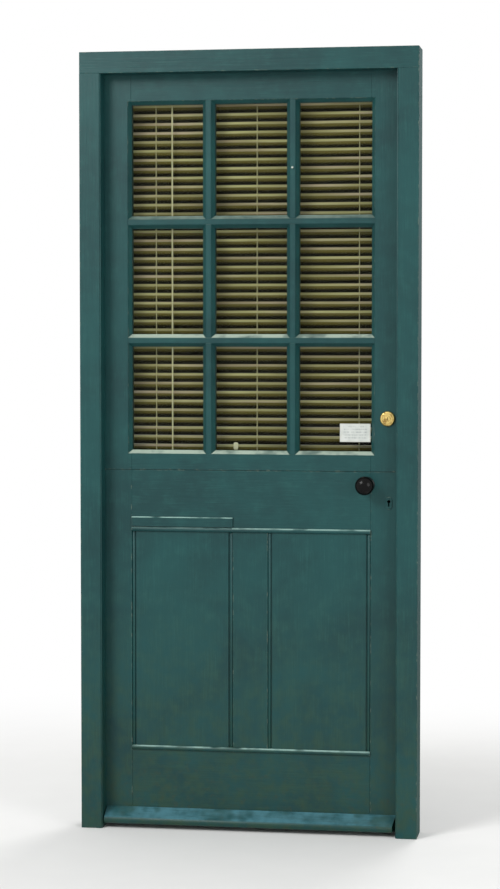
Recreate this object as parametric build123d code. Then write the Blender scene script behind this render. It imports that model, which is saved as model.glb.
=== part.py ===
from build123d import *
import os
from math import cos, radians, sin

# Stable door in its timber frame, in millimetres.
# X runs to the right seen from outside, Y into the house, Z up.
# The origin is midway between the two dowels in the jamb feet.

# Leaves
leaf_width = 813.0
leaf_height = 2032.0
leaf_thickness = 44.0
leaf_gap = 3.0
meeting_gap = 1.2
foot_gap = 6.0
split_height = 970.0
stile_width = 82.0

# Frame
jamb_face = 57.0
frame_depth = 95.0
rebate_width = 12.0
stop_gap = 1.5
arris_round = 3.0
frame_tenon_width = 37.0
frame_tenon_thickness = 18.0
dowel_hole_radius = 6.25
dowel_hole_depth = 40.0
fixing_hole_radius = 4.0
fixing_sink_radius = 8.0
fixing_sink_depth = 5.0
fixings_over_foot = (100.0, 640.0)
fixings_under_head = (766.0, 126.0)

# Glazed upper leaf
top_rail_height = 89.0
upper_foot_rail_height = 52.4
low_light_height = 278.0
middle_light_height = 283.0
bar_width = 34.0
glass_rebate = 10.0
seat_depth = 18.5
glass_thickness = 4.0
glass_bite = 8.0
ovolo = 11.0
ovolo_quirk = 3.5
bar_setback = 1.0
bar_tenon_width = 10.0
bar_tenon_thickness = 12.0
bar_tenon_length = 14.0
halving_depth = 4.0
tenon_thickness = 14.0
tenon_shoulder = 12.0
head_shoulder = 24.0
tenon_setback = 2.0
putty_edge = 0.5

# Framed lower leaf
lower_top_rail_height = 166.4
bottom_rail_height = 215.0
muntin_width = 95.0
groove_depth = 12.0
groove_width = 12.0
groove_inset = 12.5
panel_inset = 0.5
tongue_clearance = 1.0
bead_width = 9.0
quirk_width = 3.0
lock_tenon_height = 50.0
bottom_tenon_height = 75.0
strip_height = 12.0
strip_depth = 7.0
lath_height = 26.0
lath_depth = 5.0
lath_rise = 2.0

# Weatherboard
board_depth = 45.0
board_top = 52.0
board_nose_top = 30.0
board_foot = 13.0
board_side_gap = 3.0
board_splay = 7.0
drip_radius = 2.5
drip_inset = 9.0

# Butt hinges
hinge_height = 100.0
hinge_plate_width = 30.0
hinge_plate_thickness = 2.5
knuckle_radius = 6.0
knuckle_standoff = 6.5
knuckle_count = 5
knuckle_gap = 0.3
pin_radius = 2.5
pin_clearance = 0.05
pin_tip_height = 4.0
hinge_end_distance = 145.0
screw_head_radius = 4.0
screw_shank_radius = 2.0
screw_length = 25.0
screw_spacing = 35.0
screw_row_inset = 17.0

# Nightlatch
nightlatch_backset = 37.0
nightlatch_rise = 140.4
cylinder_radius = 15.0
cylinder_hole_radius = 16.0
cylinder_length = 34.0
ring_radius = 20.0
ring_depth = 7.0
ring_edge = 2.0
ring_shoulder = 1.2
plug_radius = 7.0
plug_clearance = 0.05
key_slot_width = 1.6
key_slot_height = 8.5
key_slot_depth = 12.0
tail_width = 5.0
tail_thickness = 1.6
tail_reach = 4.0
nightlatch_case_width = 66.0
nightlatch_case_height = 90.0
nightlatch_case_depth = 25.0
nightlatch_case_bevel = 1.5
nightlatch_keep_height = 60.0
nightlatch_bolt_height = 16.0
turn_radius = 16.0
turn_depth = 22.0
turn_neck_radius = 6.0
turn_gap = 1.0
turn_disc_depth = 6.0
turn_grip_width = 9.6
turn_grip_height = 28.8
turn_grip_round = 2.8
snib_throw = 8.0
snib_size = 8.0
snib_depth = 4.0
snib_inset = 12.0
snib_slot_depth = 4.0
snib_slot_height = 4.0
snib_bevel = 1.0

# Rim lock and its furniture
rim_case_width = 152.0
rim_case_height = 95.0
rim_case_depth = 22.5
rim_case_head_drop = 12.4
rim_case_bevel = 2.0
knob_backset = 93.5
knob_drop = 22.0
knob_radius = 25.0
knob_thickness = 36.0
knob_standoff = 60.0
knob_neck_radius = 9.0
knob_neck_length = 25.3
knob_shoulder_radius = 18.8
knob_shoulder_length = 27.6
knob_collar_radius = 14.0
knob_collar_depth = 3.0
knob_collar_length = 8.0
knob_gap = 0.3
quarter_round = 0.5523
rose_radius = 22.0
rose_depth = 4.0
rose_edge = 1.5
rose_slope = 5.0
spindle_side = 8.0
spindle_hole_radius = 8.0
follower_radius = 9.0
keyhole_backset = 33.5
keyhole_rise = 29.0
keyhole_radius = 4.5
keyhole_slot_width = 4.0
keyhole_drop = 13.0
key_plate_width = 18.0
key_plate_height = 34.0
key_plate_depth = 2.0
key_plate_rise = 2.0
key_plate_bevel = 0.8
latch_drop = 23.0
deadbolt_rise = 46.0
rim_bolt_height = 14.0

# Bolts and keeps common to both locks
bolt_thickness = 12.0
bolt_length = 42.0
running_clearance = 0.3
bolt_setback = 0.4
latch_throw = 12.0
deadbolt_throw = 14.0
latch_lip = 2.0
corner_round = 3.0
keep_width = 22.0
keep_pocket_play = 3.0

# Tower bolt that ties the leaves together
tower_x = 150.0
tower_plate_drop = 14.4
tower_plate_width = 30.0
tower_plate_height = 147.0
tower_plate_thickness = 2.5
tower_rod_radius = 5.0
tower_rod_length = 150.0
tower_rod_setback = 6.9
tower_tip_bevel = 1.5
tower_throw = 30.0
tower_grip_rise = 14.0
tower_grip_length = 20.0
guide_height = 10.0
guide_wall = 3.0
guide_standoff = 7.5
guide_clearance = 0.1
guide_end_distance = 5.0
keep_clearance = 1.5
tower_keep_height = 24.0
tower_keep_rise = 4.0

# Venetian blind
slat_pitch = 24.1
slat_width = 25.0
slat_thickness = 0.8
slat_crown = 1.6
slat_tilt = 66.0
slat_side_cover = 8.5
first_slat_drop = 14.0
last_slat_room = 12.0
blind_foot_cover = 10.3
blind_standoff = 7.0
headrail_size = 25.0
headrail_wall = 1.2
headrail_drop = 6.0
ladder_pitch = 277.0
ladder_offset = 9.0
string_width = 2.0
string_thickness = 1.2
string_gap = 0.3
bottom_rail_height_blind = 9.0
bottom_rail_depth_blind = 24.0
bottom_rail_round = 2.0
wand_x = -221.0
wand_radius = 2.5
wand_length = 610.0
wand_gap = 1.0
wand_hook_width = 4.0
wand_hook_height = 6.0
bracket_width = 24.0
bracket_wall = 1.5

# Card and pin on the upper leaf
card_width = 82.0
card_height = 49.0
card_thickness = 0.5
card_side_gap = 2.5
card_foot_gap = 25.0
bar_pin_radius = 3.0
bar_pin_length = 7.0
bar_pin_shank_radius = 1.5
bar_pin_face_radius = 1.8
bar_pin_head_depth = 2.0
bar_pin_drop = 172.0

# Planes worked out from the sizes above
leaf_x = leaf_width / 2
rebate_x = leaf_x + leaf_gap
stop_x = rebate_x - rebate_width
frame_x = stop_x + jamb_face
opening_x = leaf_x - stile_width
inner_y = frame_depth / 2
outer_y = -frame_depth / 2
face_y = inner_y - leaf_thickness
stop_y = face_y - stop_gap
leaf_head_z = foot_gap + leaf_height
rebate_z = leaf_head_z + leaf_gap
stop_z = rebate_z - rebate_width
frame_z = stop_z + jamb_face
fixing_heights = fixings_over_foot + tuple(frame_z - drop for drop in fixings_under_head)
lower_head_z = split_height - meeting_gap / 2
upper_foot_z = split_height + meeting_gap / 2
glaze_foot_z = upper_foot_z + upper_foot_rail_height
glaze_head_z = leaf_head_z - top_rail_height
panel_foot_z = foot_gap + bottom_rail_height
panel_head_z = lower_head_z - lower_top_rail_height
seat_y = face_y + seat_depth
glass_y = seat_y - glass_thickness
ovolo_end_y = inner_y - ovolo_quirk
ovolo_start_y = ovolo_end_y - ovolo
tenon_y = seat_y + tenon_setback
groove_y = face_y + groove_inset
pane_width = (2 * opening_x - 2 * bar_width) / 3
bar_x = (pane_width + bar_width) / 2
low_bar_z = glaze_foot_z + low_light_height + bar_width / 2
high_bar_z = low_bar_z + bar_width + middle_light_height
pin_x = -(leaf_x + rebate_x) / 2
pin_y = inner_y + knuckle_standoff
lower_hinges = (foot_gap + hinge_end_distance + hinge_height / 2,
                lower_head_z - hinge_end_distance - hinge_height / 2)
upper_hinges = (upper_foot_z + hinge_end_distance + hinge_height / 2,
                leaf_head_z - hinge_end_distance - hinge_height / 2)
all_hinges = lower_hinges + upper_hinges
rim_case_head = lower_head_z - rim_case_head_drop
rim_case_foot = rim_case_head - rim_case_height
knob_height = rim_case_head - knob_drop
keyhole_height = rim_case_foot + keyhole_rise
latch_height = rim_case_head - latch_drop
deadbolt_height = rim_case_foot + deadbolt_rise
nightlatch_height = upper_foot_z + nightlatch_rise
bar_pin_height = glaze_head_z - bar_pin_drop
tower_plate_head = lower_head_z - tower_plate_drop
tower_foot = tower_plate_head - tower_plate_height
cylinder_x = leaf_x - nightlatch_backset
knob_x = leaf_x - knob_backset
keyhole_x = leaf_x - keyhole_backset
bolt_y = inner_y + rim_case_depth / 2
night_bolt_y = inner_y + nightlatch_case_depth / 2
tower_guide_z = tower_foot + tower_throw
tower_axis_y = inner_y + tower_plate_thickness + guide_standoff
headrail_y = inner_y + blind_standoff
slat_y = headrail_y + headrail_size / 2
headrail_z = glaze_head_z + headrail_drop
bottom_rail_z = glaze_foot_z - blind_foot_cover
slat_length = 2 * (opening_x + slat_side_cover)
slat_room = headrail_z - first_slat_drop - last_slat_room - bottom_rail_z
slat_count = int(slat_room // slat_pitch) + 1
wand_y = headrail_y - wand_radius - wand_gap
snib_x = leaf_x - nightlatch_case_width + snib_inset
snib_z = nightlatch_height - nightlatch_case_height / 4


def block(x0, x1, y0, y1, z0, z1):
    """A box between two corners."""
    centre = ((x0 + x1) / 2, (y0 + y1) / 2, (z0 + z1) / 2)
    return Pos(*centre) * Box(abs(x1 - x0), abs(y1 - y0), abs(z1 - z0))


def rod(start, direction, length, radius):
    """A round rod from a point along a direction."""
    plane = Plane(origin=start, z_dir=direction)
    return extrude(plane * Circle(radius), amount=length)


def cone(start, direction, length, radius_start, radius_end):
    """A frustum from a point along a direction."""
    profile = Polyline((0, 0), (radius_start, 0), (radius_end, length), (0, length), (0, 0))
    turned_shape = revolve(make_face(Plane.XZ * profile), Axis.Z)
    return Plane(origin=start, z_dir=direction) * turned_shape


def swept(section, centre, across, length):
    """A section in (across, Y) run both ways from its centre for a total length."""
    along = Vector(*across).cross(Vector(0, 1, 0))
    plane = Plane(origin=centre, x_dir=across, z_dir=along)
    return extrude(plane * section, amount=length / 2, both=True)


def turned(outline, x, z):
    """A closed outline in (radius, Y) turned about the Y direction at x, z."""
    return Pos(x, 0, z) * revolve(make_face(outline), Axis.Y)


def group(shapes):
    """Several separate solids as one part."""
    return Compound(children=[solid for shape in shapes for solid in shape.solids()])


# Frame

def jamb_section(side):
    """Rebated jamb section with a rounded outer arris; side is -1 for the hinge jamb."""
    outline = Polyline(
        (side * frame_x, outer_y),
        (side * (stop_x + arris_round), outer_y),
    ) + RadiusArc(
        (side * (stop_x + arris_round), outer_y),
        (side * stop_x, outer_y + arris_round),
        -side * arris_round,
    ) + Polyline(
        (side * stop_x, outer_y + arris_round),
        (side * stop_x, stop_y),
        (side * rebate_x, stop_y),
        (side * rebate_x, inner_y),
        (side * frame_x, inner_y),
        (side * frame_x, outer_y),
    )
    return make_face(outline)


def frame_tenon(side):
    """Through tenon at the head of a jamb."""
    middle = (outer_y + stop_y) / 2
    half = frame_tenon_thickness / 2
    ends = sorted((side * stop_x, side * (stop_x + frame_tenon_width)))
    return block(ends[0], ends[1], middle - half, middle + half, stop_z, frame_z)


def jamb(side):
    """Jamb with long and short shoulders under the head, dowel hole and fixing holes."""
    post = extrude(jamb_section(side), amount=stop_z)
    ends = sorted((side * rebate_x, side * frame_x))
    post += block(ends[0], ends[1], stop_y, inner_y, stop_z, rebate_z)
    post += frame_tenon(side)
    middle_x = side * (stop_x + jamb_face / 2)
    post -= rod((middle_x, 0, 0), (0, 0, 1), dowel_hole_depth, dowel_hole_radius)
    middle_y = (stop_y + inner_y) / 2
    for height in fixing_heights:
        start = (side * rebate_x, middle_y, height)
        post -= rod(start, (side, 0, 0), frame_x - rebate_x, fixing_hole_radius)
        post -= cone(start, (side, 0, 0), fixing_sink_depth, fixing_sink_radius, fixing_hole_radius)
    return post


def frame_head():
    """Head with the same rebate, mortised for the jamb tenons."""
    section = make_face(Polyline(
        (stop_z, outer_y), (stop_z, stop_y), (rebate_z, stop_y),
        (rebate_z, inner_y), (frame_z, inner_y), (frame_z, outer_y), (stop_z, outer_y),
    ))
    head = swept(section, (0, 0, 0), (0, 0, 1), 2 * frame_x)
    return head - frame_tenon(-1) - frame_tenon(1)


# Hinges

def plate_box(side, height):
    """Flat part of a hinge plate, let in flush; side -1 is the jamb, 1 the leaf."""
    flush = -rebate_x if side < 0 else -leaf_x
    ends = sorted((flush, flush + side * hinge_plate_thickness))
    half = hinge_height / 2
    low_y = inner_y - hinge_plate_width
    return block(ends[0], ends[1], low_y, inner_y, height - half, height + half)


def screw_places(height):
    """Depth and height of the screws of one plate."""
    depth = inner_y - screw_row_inset
    return [(depth, height + step * screw_spacing) for step in (-1, 0, 1)]


def hinge_screw(side, depth, height):
    """Countersunk screw driven away from the gap between leaf and jamb."""
    flush = -rebate_x if side < 0 else -leaf_x
    start = (flush, depth, height)
    head = cone(start, (side, 0, 0), hinge_plate_thickness, screw_head_radius, screw_shank_radius)
    return head + rod(start, (side, 0, 0), screw_length, screw_shank_radius)


def hinge_screws(side, heights):
    """All screws of the plates at these heights."""
    return [hinge_screw(side, *place) for height in heights for place in screw_places(height)]


def hinge_plate(side, height):
    """Plate with its share of the five knuckles; the jamb plate has the outer ones."""
    plate = plate_box(side, height)
    flush = -rebate_x if side < 0 else -leaf_x
    ends = sorted((flush, flush + side * hinge_plate_thickness))
    step = hinge_height / knuckle_count
    bore = pin_radius if side < 0 else pin_radius + pin_clearance
    for number in range(knuckle_count):
        if (number % 2 == 0) != (side < 0):
            continue
        low = height - hinge_height / 2 + number * step + knuckle_gap / 2
        high = low + step - knuckle_gap
        plate += block(ends[0], ends[1], inner_y - hinge_plate_thickness, pin_y, low, high)
        plate += rod((pin_x, pin_y, low), (0, 0, 1), high - low, knuckle_radius)
    plate -= rod((pin_x, pin_y, height - hinge_height), (0, 0, 1), 2 * hinge_height, bore)
    for depth, place in screw_places(height):
        plate -= hinge_screw(side, depth, place)
    return plate


def hinge_pin(height):
    """Pin with a button tip above and below the knuckles."""
    half = hinge_height / 2 - knuckle_gap / 2
    pin = rod((pin_x, pin_y, height - half), (0, 0, 1), 2 * half, pin_radius)
    pin += cone((pin_x, pin_y, height + half), (0, 0, 1), pin_tip_height, knuckle_radius, pin_radius)
    pin += cone((pin_x, pin_y, height - half), (0, 0, -1), pin_tip_height, knuckle_radius, pin_radius)
    return pin


def hinge_seats(side, heights):
    """Timber taken out for plates and screws."""
    cuts = [plate_box(side, height) for height in heights]
    return group(cuts + hinge_screws(side, heights))


# Upper leaf

def edge_section(width):
    """Glazed member: rebate for the glass outside, ovolo inside, measured from its sight line."""
    bend = ovolo * (1 - cos(radians(45)))
    outline = Polyline(
        (ovolo, ovolo_end_y), (ovolo, inner_y), (width, inner_y), (width, face_y),
        (glass_rebate, face_y), (glass_rebate, seat_y), (0, seat_y), (0, ovolo_start_y),
    ) + ThreePointArc(
        (0, ovolo_start_y),
        (bend, ovolo_end_y - bend),
        (ovolo, ovolo_end_y),
    )
    return make_face(outline)


def bar_section():
    """Glazing bar: thin rib outside, glass ledges, ovolo on both inner arrises."""
    half = bar_width / 2
    rib = half - glass_rebate
    nose = half - ovolo
    bend = ovolo * (1 - cos(radians(45)))
    outline = Polyline(
        (-nose, ovolo_end_y), (-nose, inner_y), (nose, inner_y), (nose, ovolo_end_y),
    ) + ThreePointArc(
        (nose, ovolo_end_y), (half - bend, ovolo_end_y - bend), (half, ovolo_start_y),
    ) + Polyline(
        (half, ovolo_start_y), (half, seat_y), (rib, seat_y), (rib, face_y + bar_setback),
        (-rib, face_y + bar_setback), (-rib, seat_y), (-half, seat_y), (-half, ovolo_start_y),
    ) + ThreePointArc(
        (-half, ovolo_start_y), (bend - half, ovolo_end_y - bend), (-nose, ovolo_end_y),
    )
    return make_face(outline)


def raw_upper_stile(side):
    """Stile of the upper leaf before its joints are cut."""
    length = leaf_head_z - upper_foot_z
    centre = (side * opening_x, 0, (leaf_head_z + upper_foot_z) / 2)
    return swept(edge_section(stile_width), centre, (side, 0, 0), length)


def raw_upper_rail(end):
    """Rail of the upper leaf scribed over both stiles; end is 1 at the head, -1 at the foot."""
    height = top_rail_height if end > 0 else upper_foot_rail_height
    sight = glaze_head_z if end > 0 else glaze_foot_z
    rail = swept(edge_section(height), (0, 0, sight), (0, 0, end), 2 * (opening_x + ovolo))
    return rail - raw_upper_stile(-1) - raw_upper_stile(1)


def upper_tenon(side, end):
    """Through tenon of an upper rail."""
    if end > 0:
        low, high = glaze_head_z + tenon_shoulder, leaf_head_z - head_shoulder
    else:
        low, high = upper_foot_z + tenon_shoulder, glaze_foot_z - tenon_shoulder
    ends = sorted((side * opening_x, side * leaf_x))
    return block(ends[0], ends[1], tenon_y, tenon_y + tenon_thickness, low, high)


def upright_tenon(x, end):
    """Stub tenon of an upright bar into the rail above or below."""
    sight = glaze_head_z if end > 0 else glaze_foot_z
    ends = sorted((sight, sight + end * bar_tenon_length))
    half = bar_tenon_width / 2
    return block(x - half, x + half, tenon_y, tenon_y + bar_tenon_thickness, ends[0], ends[1])


def cross_tenon(z, side):
    """Stub tenon of a cross bar into a stile."""
    ends = sorted((side * opening_x, side * (opening_x + bar_tenon_length)))
    half = bar_tenon_width / 2
    return block(ends[0], ends[1], tenon_y, tenon_y + bar_tenon_thickness, z - half, z + half)


def raw_upright(x):
    """Upright bar over its full height with scribed ends."""
    centre = (x, 0, (glaze_foot_z + glaze_head_z) / 2)
    length = glaze_head_z - glaze_foot_z + 2 * ovolo
    return swept(bar_section(), centre, (1, 0, 0), length) - raw_upper_rail(1) - raw_upper_rail(-1)


def raw_cross(z):
    """Cross bar over its full width with scribed ends."""
    bar = swept(bar_section(), (0, 0, z), (0, 0, 1), 2 * (opening_x + ovolo))
    return bar - raw_upper_stile(-1) - raw_upper_stile(1)


def crossing(x, z, front):
    """Half of the space where two bars cross, in front of or behind the halving plane."""
    half = bar_width / 2
    plane_y = seat_y + halving_depth
    low, high = (outer_y, plane_y) if front else (plane_y, inner_y)
    return block(x - half, x + half, low, high, z - half, z + half)


def upright_bar(x):
    """Upright bar: keeps the inner half where the cross bars pass."""
    bar = raw_upright(x)
    for z in (low_bar_z, high_bar_z):
        bar -= raw_cross(z) & crossing(x, z, True)
    return bar + upright_tenon(x, 1) + upright_tenon(x, -1)


def cross_bar(z):
    """Cross bar: keeps the outer half where the upright bars pass."""
    bar = raw_cross(z)
    for x in (-bar_x, bar_x):
        bar -= raw_upright(x) & crossing(x, z, False)
    return bar + cross_tenon(z, -1) + cross_tenon(z, 1)


def upper_stile(side):
    """Upper stile with its mortises; the hinge side has hinge seats, the lock side the cylinder hole."""
    stile = raw_upper_stile(side)
    for end in (-1, 1):
        stile -= upper_tenon(side, end)
    for z in (low_bar_z, high_bar_z):
        stile -= cross_tenon(z, side)
    if side < 0:
        return stile - hinge_seats(1, upper_hinges)
    start = (cylinder_x, outer_y, nightlatch_height)
    return stile - rod(start, (0, 1, 0), frame_depth, cylinder_hole_radius)


def upper_rail(end):
    """Upper rail with through tenons and mortises for the upright bars."""
    rail = raw_upper_rail(end)
    for side in (-1, 1):
        rail += upper_tenon(side, end)
    for x in (-bar_x, bar_x):
        rail -= upright_tenon(x, end)
    return rail - hinge_seats(1, upper_hinges)


def light_columns():
    """Left and right sight lines of the three columns of lights."""
    pitch = pane_width + bar_width
    return [(-opening_x + i * pitch, -opening_x + i * pitch + pane_width) for i in range(3)]


def light_rows():
    """Lower and upper sight lines of the three rows of lights, from the foot."""
    half = bar_width / 2
    return [(glaze_foot_z, low_bar_z - half), (low_bar_z + half, high_bar_z - half),
            (high_bar_z + half, glaze_head_z)]


def pane(column, row):
    """One pane of glass, bedded in its rebates."""
    x0, x1 = column
    z0, z1 = row
    b = glass_bite
    return block(x0 - b, x1 + b, glass_y, seat_y, z0 - b, z1 + b)


def putty(column, row):
    """Bevelled putty fillet that holds one pane."""
    x0, x1 = column
    z0, z1 = row
    r = glass_rebate
    front_y = face_y + bar_setback
    centre_x, centre_z = (x0 + x1) / 2, (z0 + z1) / 2
    back = Plane(origin=(centre_x, glass_y, centre_z), x_dir=(1, 0, 0), z_dir=(0, -1, 0))
    front = Plane(origin=(centre_x, front_y, centre_z), x_dir=(1, 0, 0), z_dir=(0, -1, 0))
    width, height = x1 - x0, z1 - z0
    wide = width + 2 * (r - putty_edge)
    high = height + 2 * (r - putty_edge)
    bevel = loft([back * Rectangle(width, height), front * Rectangle(wide, high)])
    fillet_ring = block(x0 - r, x1 + r, front_y, seat_y, z0 - r, z1 + r)
    return fillet_ring - bevel - pane(column, row)


# Lower leaf

def lower_tenons(side):
    """Through tenons of the lower rails at one stile."""
    ends = sorted((side * opening_x, side * leaf_x))
    middle = (panel_head_z + lower_head_z) / 2
    spread = (lower_top_rail_height - lock_tenon_height) / 2 - tenon_shoulder
    heights = [(middle - spread, lock_tenon_height), (middle + spread, lock_tenon_height)]
    middle = (foot_gap + panel_foot_z) / 2
    spread = (bottom_rail_height - bottom_tenon_height) / 2 - tenon_shoulder
    heights += [(middle - spread, bottom_tenon_height), (middle + spread, bottom_tenon_height)]
    tenons = []
    for height, size in heights:
        low, high = height - size / 2, height + size / 2
        tenons.append(block(ends[0], ends[1], groove_y, groove_y + groove_width, low, high))
    return tenons


def keyhole(y0, y1):
    """Keyhole cut between two depths."""
    hole = rod((keyhole_x, y0, keyhole_height), (0, 1, 0), y1 - y0, keyhole_radius)
    half = keyhole_slot_width / 2
    foot = keyhole_height - keyhole_drop
    return hole + block(keyhole_x - half, keyhole_x + half, y0, y1, foot, keyhole_height)


def lower_stile(side):
    """Lower stile, grooved for panels and mortised for the rails."""
    ends = sorted((side * opening_x, side * leaf_x))
    stile = block(ends[0], ends[1], face_y, inner_y, foot_gap, lower_head_z)
    groove = sorted((side * opening_x, side * (opening_x + groove_depth)))
    stile -= block(groove[0], groove[1], groove_y, groove_y + groove_width, foot_gap, lower_head_z)
    for tenon in lower_tenons(side):
        stile -= tenon
    if side < 0:
        return stile - hinge_seats(1, lower_hinges)
    return stile - keyhole(face_y, inner_y)


def lower_rail(low, high, groove_low, groove_high):
    """Lower rail between the stiles, grooved along the edge that meets the panels."""
    rail = block(-opening_x, opening_x, face_y, inner_y, low, high)
    rail -= block(-opening_x, opening_x, groove_y, groove_y + groove_width, groove_low, groove_high)
    reach = opening_x + groove_depth
    haunch_low = groove_high if groove_low == low else low
    haunch_high = groove_low if groove_high == high else high
    for side in (-1, 1):
        ends = sorted((side * opening_x, side * reach))
        rail += block(ends[0], ends[1], groove_y, groove_y + groove_width, haunch_low, haunch_high)
        for tenon in lower_tenons(side):
            if low < tenon.center().Z < high:
                rail += tenon
    return rail - hinge_seats(1, lower_hinges)


def lower_top_rail():
    """Wide rail at knee height that carries the rim lock."""
    rail = lower_rail(panel_head_z, lower_head_z, panel_head_z, panel_head_z + groove_depth)
    return rail - rod((knob_x, outer_y, knob_height), (0, 1, 0), frame_depth, spindle_hole_radius)


def bottom_rail():
    """Bottom rail, the foot of the door."""
    return lower_rail(foot_gap, panel_foot_z, panel_foot_z - groove_depth, panel_foot_z)


def muntin():
    """Middle upright between the panels, tongued into both rails and grooved for the panels."""
    half = muntin_width / 2
    post = block(-half, half, face_y, inner_y, panel_foot_z, panel_head_z)
    post += block(-half, half, groove_y, groove_y + groove_width,
                  panel_foot_z - groove_depth, panel_head_z + groove_depth)
    for side in (-1, 1):
        ends = sorted((side * half, side * (half - groove_depth)))
        post -= block(ends[0], ends[1], groove_y, groove_y + groove_width,
                      panel_foot_z - groove_depth, panel_head_z + groove_depth)
    return post


def panel(side):
    """Panel flush with the outer face, with a bead and quirk down each side and a tongue all round."""
    near, far = muntin_width / 2, opening_x
    front = face_y + panel_inset
    radius = bead_width / 2
    back = groove_y + groove_width
    left = Polyline(
        (near + bead_width + quirk_width, front),
        (near + bead_width + quirk_width, front + radius),
        (near + bead_width, front + radius),
    ) + ThreePointArc(
        (near + bead_width, front + radius), (near + radius, front), (near, front + radius),
    )
    right = ThreePointArc(
        (far, front + radius), (far - radius, front), (far - bead_width, front + radius),
    ) + Polyline(
        (far - bead_width, front + radius),
        (far - bead_width - quirk_width, front + radius),
        (far - bead_width - quirk_width, front),
        (near + bead_width + quirk_width, front),
    )
    rest = Polyline((near, front + radius), (near, back), (far, back), (far, front + radius))
    section = make_face(left + rest + right)
    if side < 0:
        section = mirror(section, Plane.YZ)
    board = Pos(0, 0, panel_foot_z) * extrude(section, amount=panel_head_z - panel_foot_z, dir=(0, 0, 1))
    tongue = groove_depth - tongue_clearance
    ends = sorted((side * (near - tongue), side * (far + tongue)))
    return board + block(ends[0], ends[1], groove_y, back, panel_foot_z - tongue, panel_head_z + tongue)


def panel_strips():
    """Half-round strips planted on the rails over and under the panels, and a lath over the left one."""
    half = strip_height / 2
    outline = Polyline((-half, face_y), (half, face_y)) + ThreePointArc(
        (half, face_y), (0, face_y - strip_depth), (-half, face_y),
    )
    section = make_face(outline)
    head = swept(section, (0, 0, panel_head_z + half), (0, 0, 1), 2 * opening_x)
    foot = swept(section, (0, 0, panel_foot_z - half), (0, 0, 1), 2 * opening_x)
    lath_foot = panel_head_z + strip_height + lath_rise
    lath = block(-opening_x, -muntin_width / 2, face_y - lath_depth, face_y,
                 lath_foot, lath_foot + lath_height)
    edge = lath.edges().filter_by(Axis.X).sort_by(Axis.Y)[:2].sort_by(Axis.Z)[-1]
    return group([head, foot, chamfer(edge, lath_depth / 2)])


def weatherboard():
    """Sloped board that throws rain clear of the threshold, splayed at the lock end."""
    nose_y = face_y - board_depth
    nose_round = (board_nose_top - board_foot) / 3
    outline = Polyline(
        (board_foot, face_y), (board_top, face_y), (board_top, face_y - nose_round / 2),
        (board_nose_top, nose_y + nose_round / 2),
    ) + ThreePointArc(
        (board_nose_top, nose_y + nose_round / 2),
        (board_nose_top - nose_round, nose_y),
        (board_foot, nose_y + nose_round / 2),
    ) + Line((board_foot, nose_y + nose_round / 2), (board_foot, face_y))
    reach = stop_x - board_side_gap
    board = swept(make_face(outline), (0, 0, 0), (0, 0, 1), 2 * reach)
    groove_centre = nose_y + drip_inset
    board -= rod((-frame_x, groove_centre, board_foot), (1, 0, 0), 2 * frame_x, drip_radius)
    wedge = Polyline(
        (reach, face_y), (reach + board_depth, face_y), (reach + board_depth, nose_y - 1),
        (reach - board_splay, nose_y - 1), (reach, face_y),
    )
    return board - extrude(make_face(wedge), amount=board_top + 1, dir=(0, 0, 1))


# Nightlatch

def nightlatch_ring():
    """Domed brass ring round the cylinder."""
    back, front = face_y, face_y - ring_depth
    outline = Polyline(
        (cylinder_radius, front), (cylinder_radius, back), (ring_radius, back),
        (ring_radius, back - ring_edge),
    ) + ThreePointArc(
        (ring_radius, back - ring_edge),
        (ring_radius - ring_shoulder, front + ring_shoulder),
        (cylinder_radius, front),
    )
    return turned(outline, cylinder_x, nightlatch_height)


def nightlatch_cylinder():
    """Cylinder body, bored for the key plug."""
    start = (cylinder_x, face_y - ring_depth, nightlatch_height)
    body = rod(start, (0, 1, 0), cylinder_length, cylinder_radius)
    return body - rod(start, (0, 1, 0), cylinder_length, plug_radius)


def nightlatch_plug():
    """Key plug with its slot and the flat tail bar that reaches the case."""
    x, z = cylinder_x, nightlatch_height
    front = face_y - ring_depth
    back = front + cylinder_length
    plug = rod((x, front, z), (0, 1, 0), cylinder_length, plug_radius - plug_clearance)
    plug -= block(x - key_slot_width / 2, x + key_slot_width / 2, front, front + key_slot_depth,
                  z - key_slot_height / 2, z + key_slot_height / 2)
    return plug + block(x - tail_thickness / 2, x + tail_thickness / 2, back - tail_thickness,
                        inner_y + tail_reach, z - tail_width / 2, z + tail_width / 2)


def bolt_channel(y, z, height, length):
    """Channel in a lock case for a bolt."""
    half_t = bolt_thickness / 2 + running_clearance
    half_h = height / 2 + running_clearance
    start = leaf_x - length - running_clearance
    return block(start, leaf_x, y - half_t, y + half_t, z - half_h, z + half_h)


def lock_bolt(y, z, height, length):
    """Sliding bolt, shown drawn back into its case."""
    half_t, half_h = bolt_thickness / 2, height / 2
    end = leaf_x - bolt_setback
    return block(leaf_x - length, end, y - half_t, y + half_t, z - half_h, z + half_h)


def latch_bevel(bolt, y, z, height):
    """Bevels the nose of a latch on the side that meets the keep as the leaf closes."""
    depth = bolt_thickness - latch_lip
    end = leaf_x - bolt_setback
    wedge = Polyline((end, y - bolt_thickness / 2), (end, y - bolt_thickness / 2 + depth),
                     (end - depth, y - bolt_thickness / 2), (end, y - bolt_thickness / 2))
    cut = extrude(make_face(wedge), amount=height, dir=(0, 0, 1))
    return bolt - Pos(0, 0, z - height / 2) * cut


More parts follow.
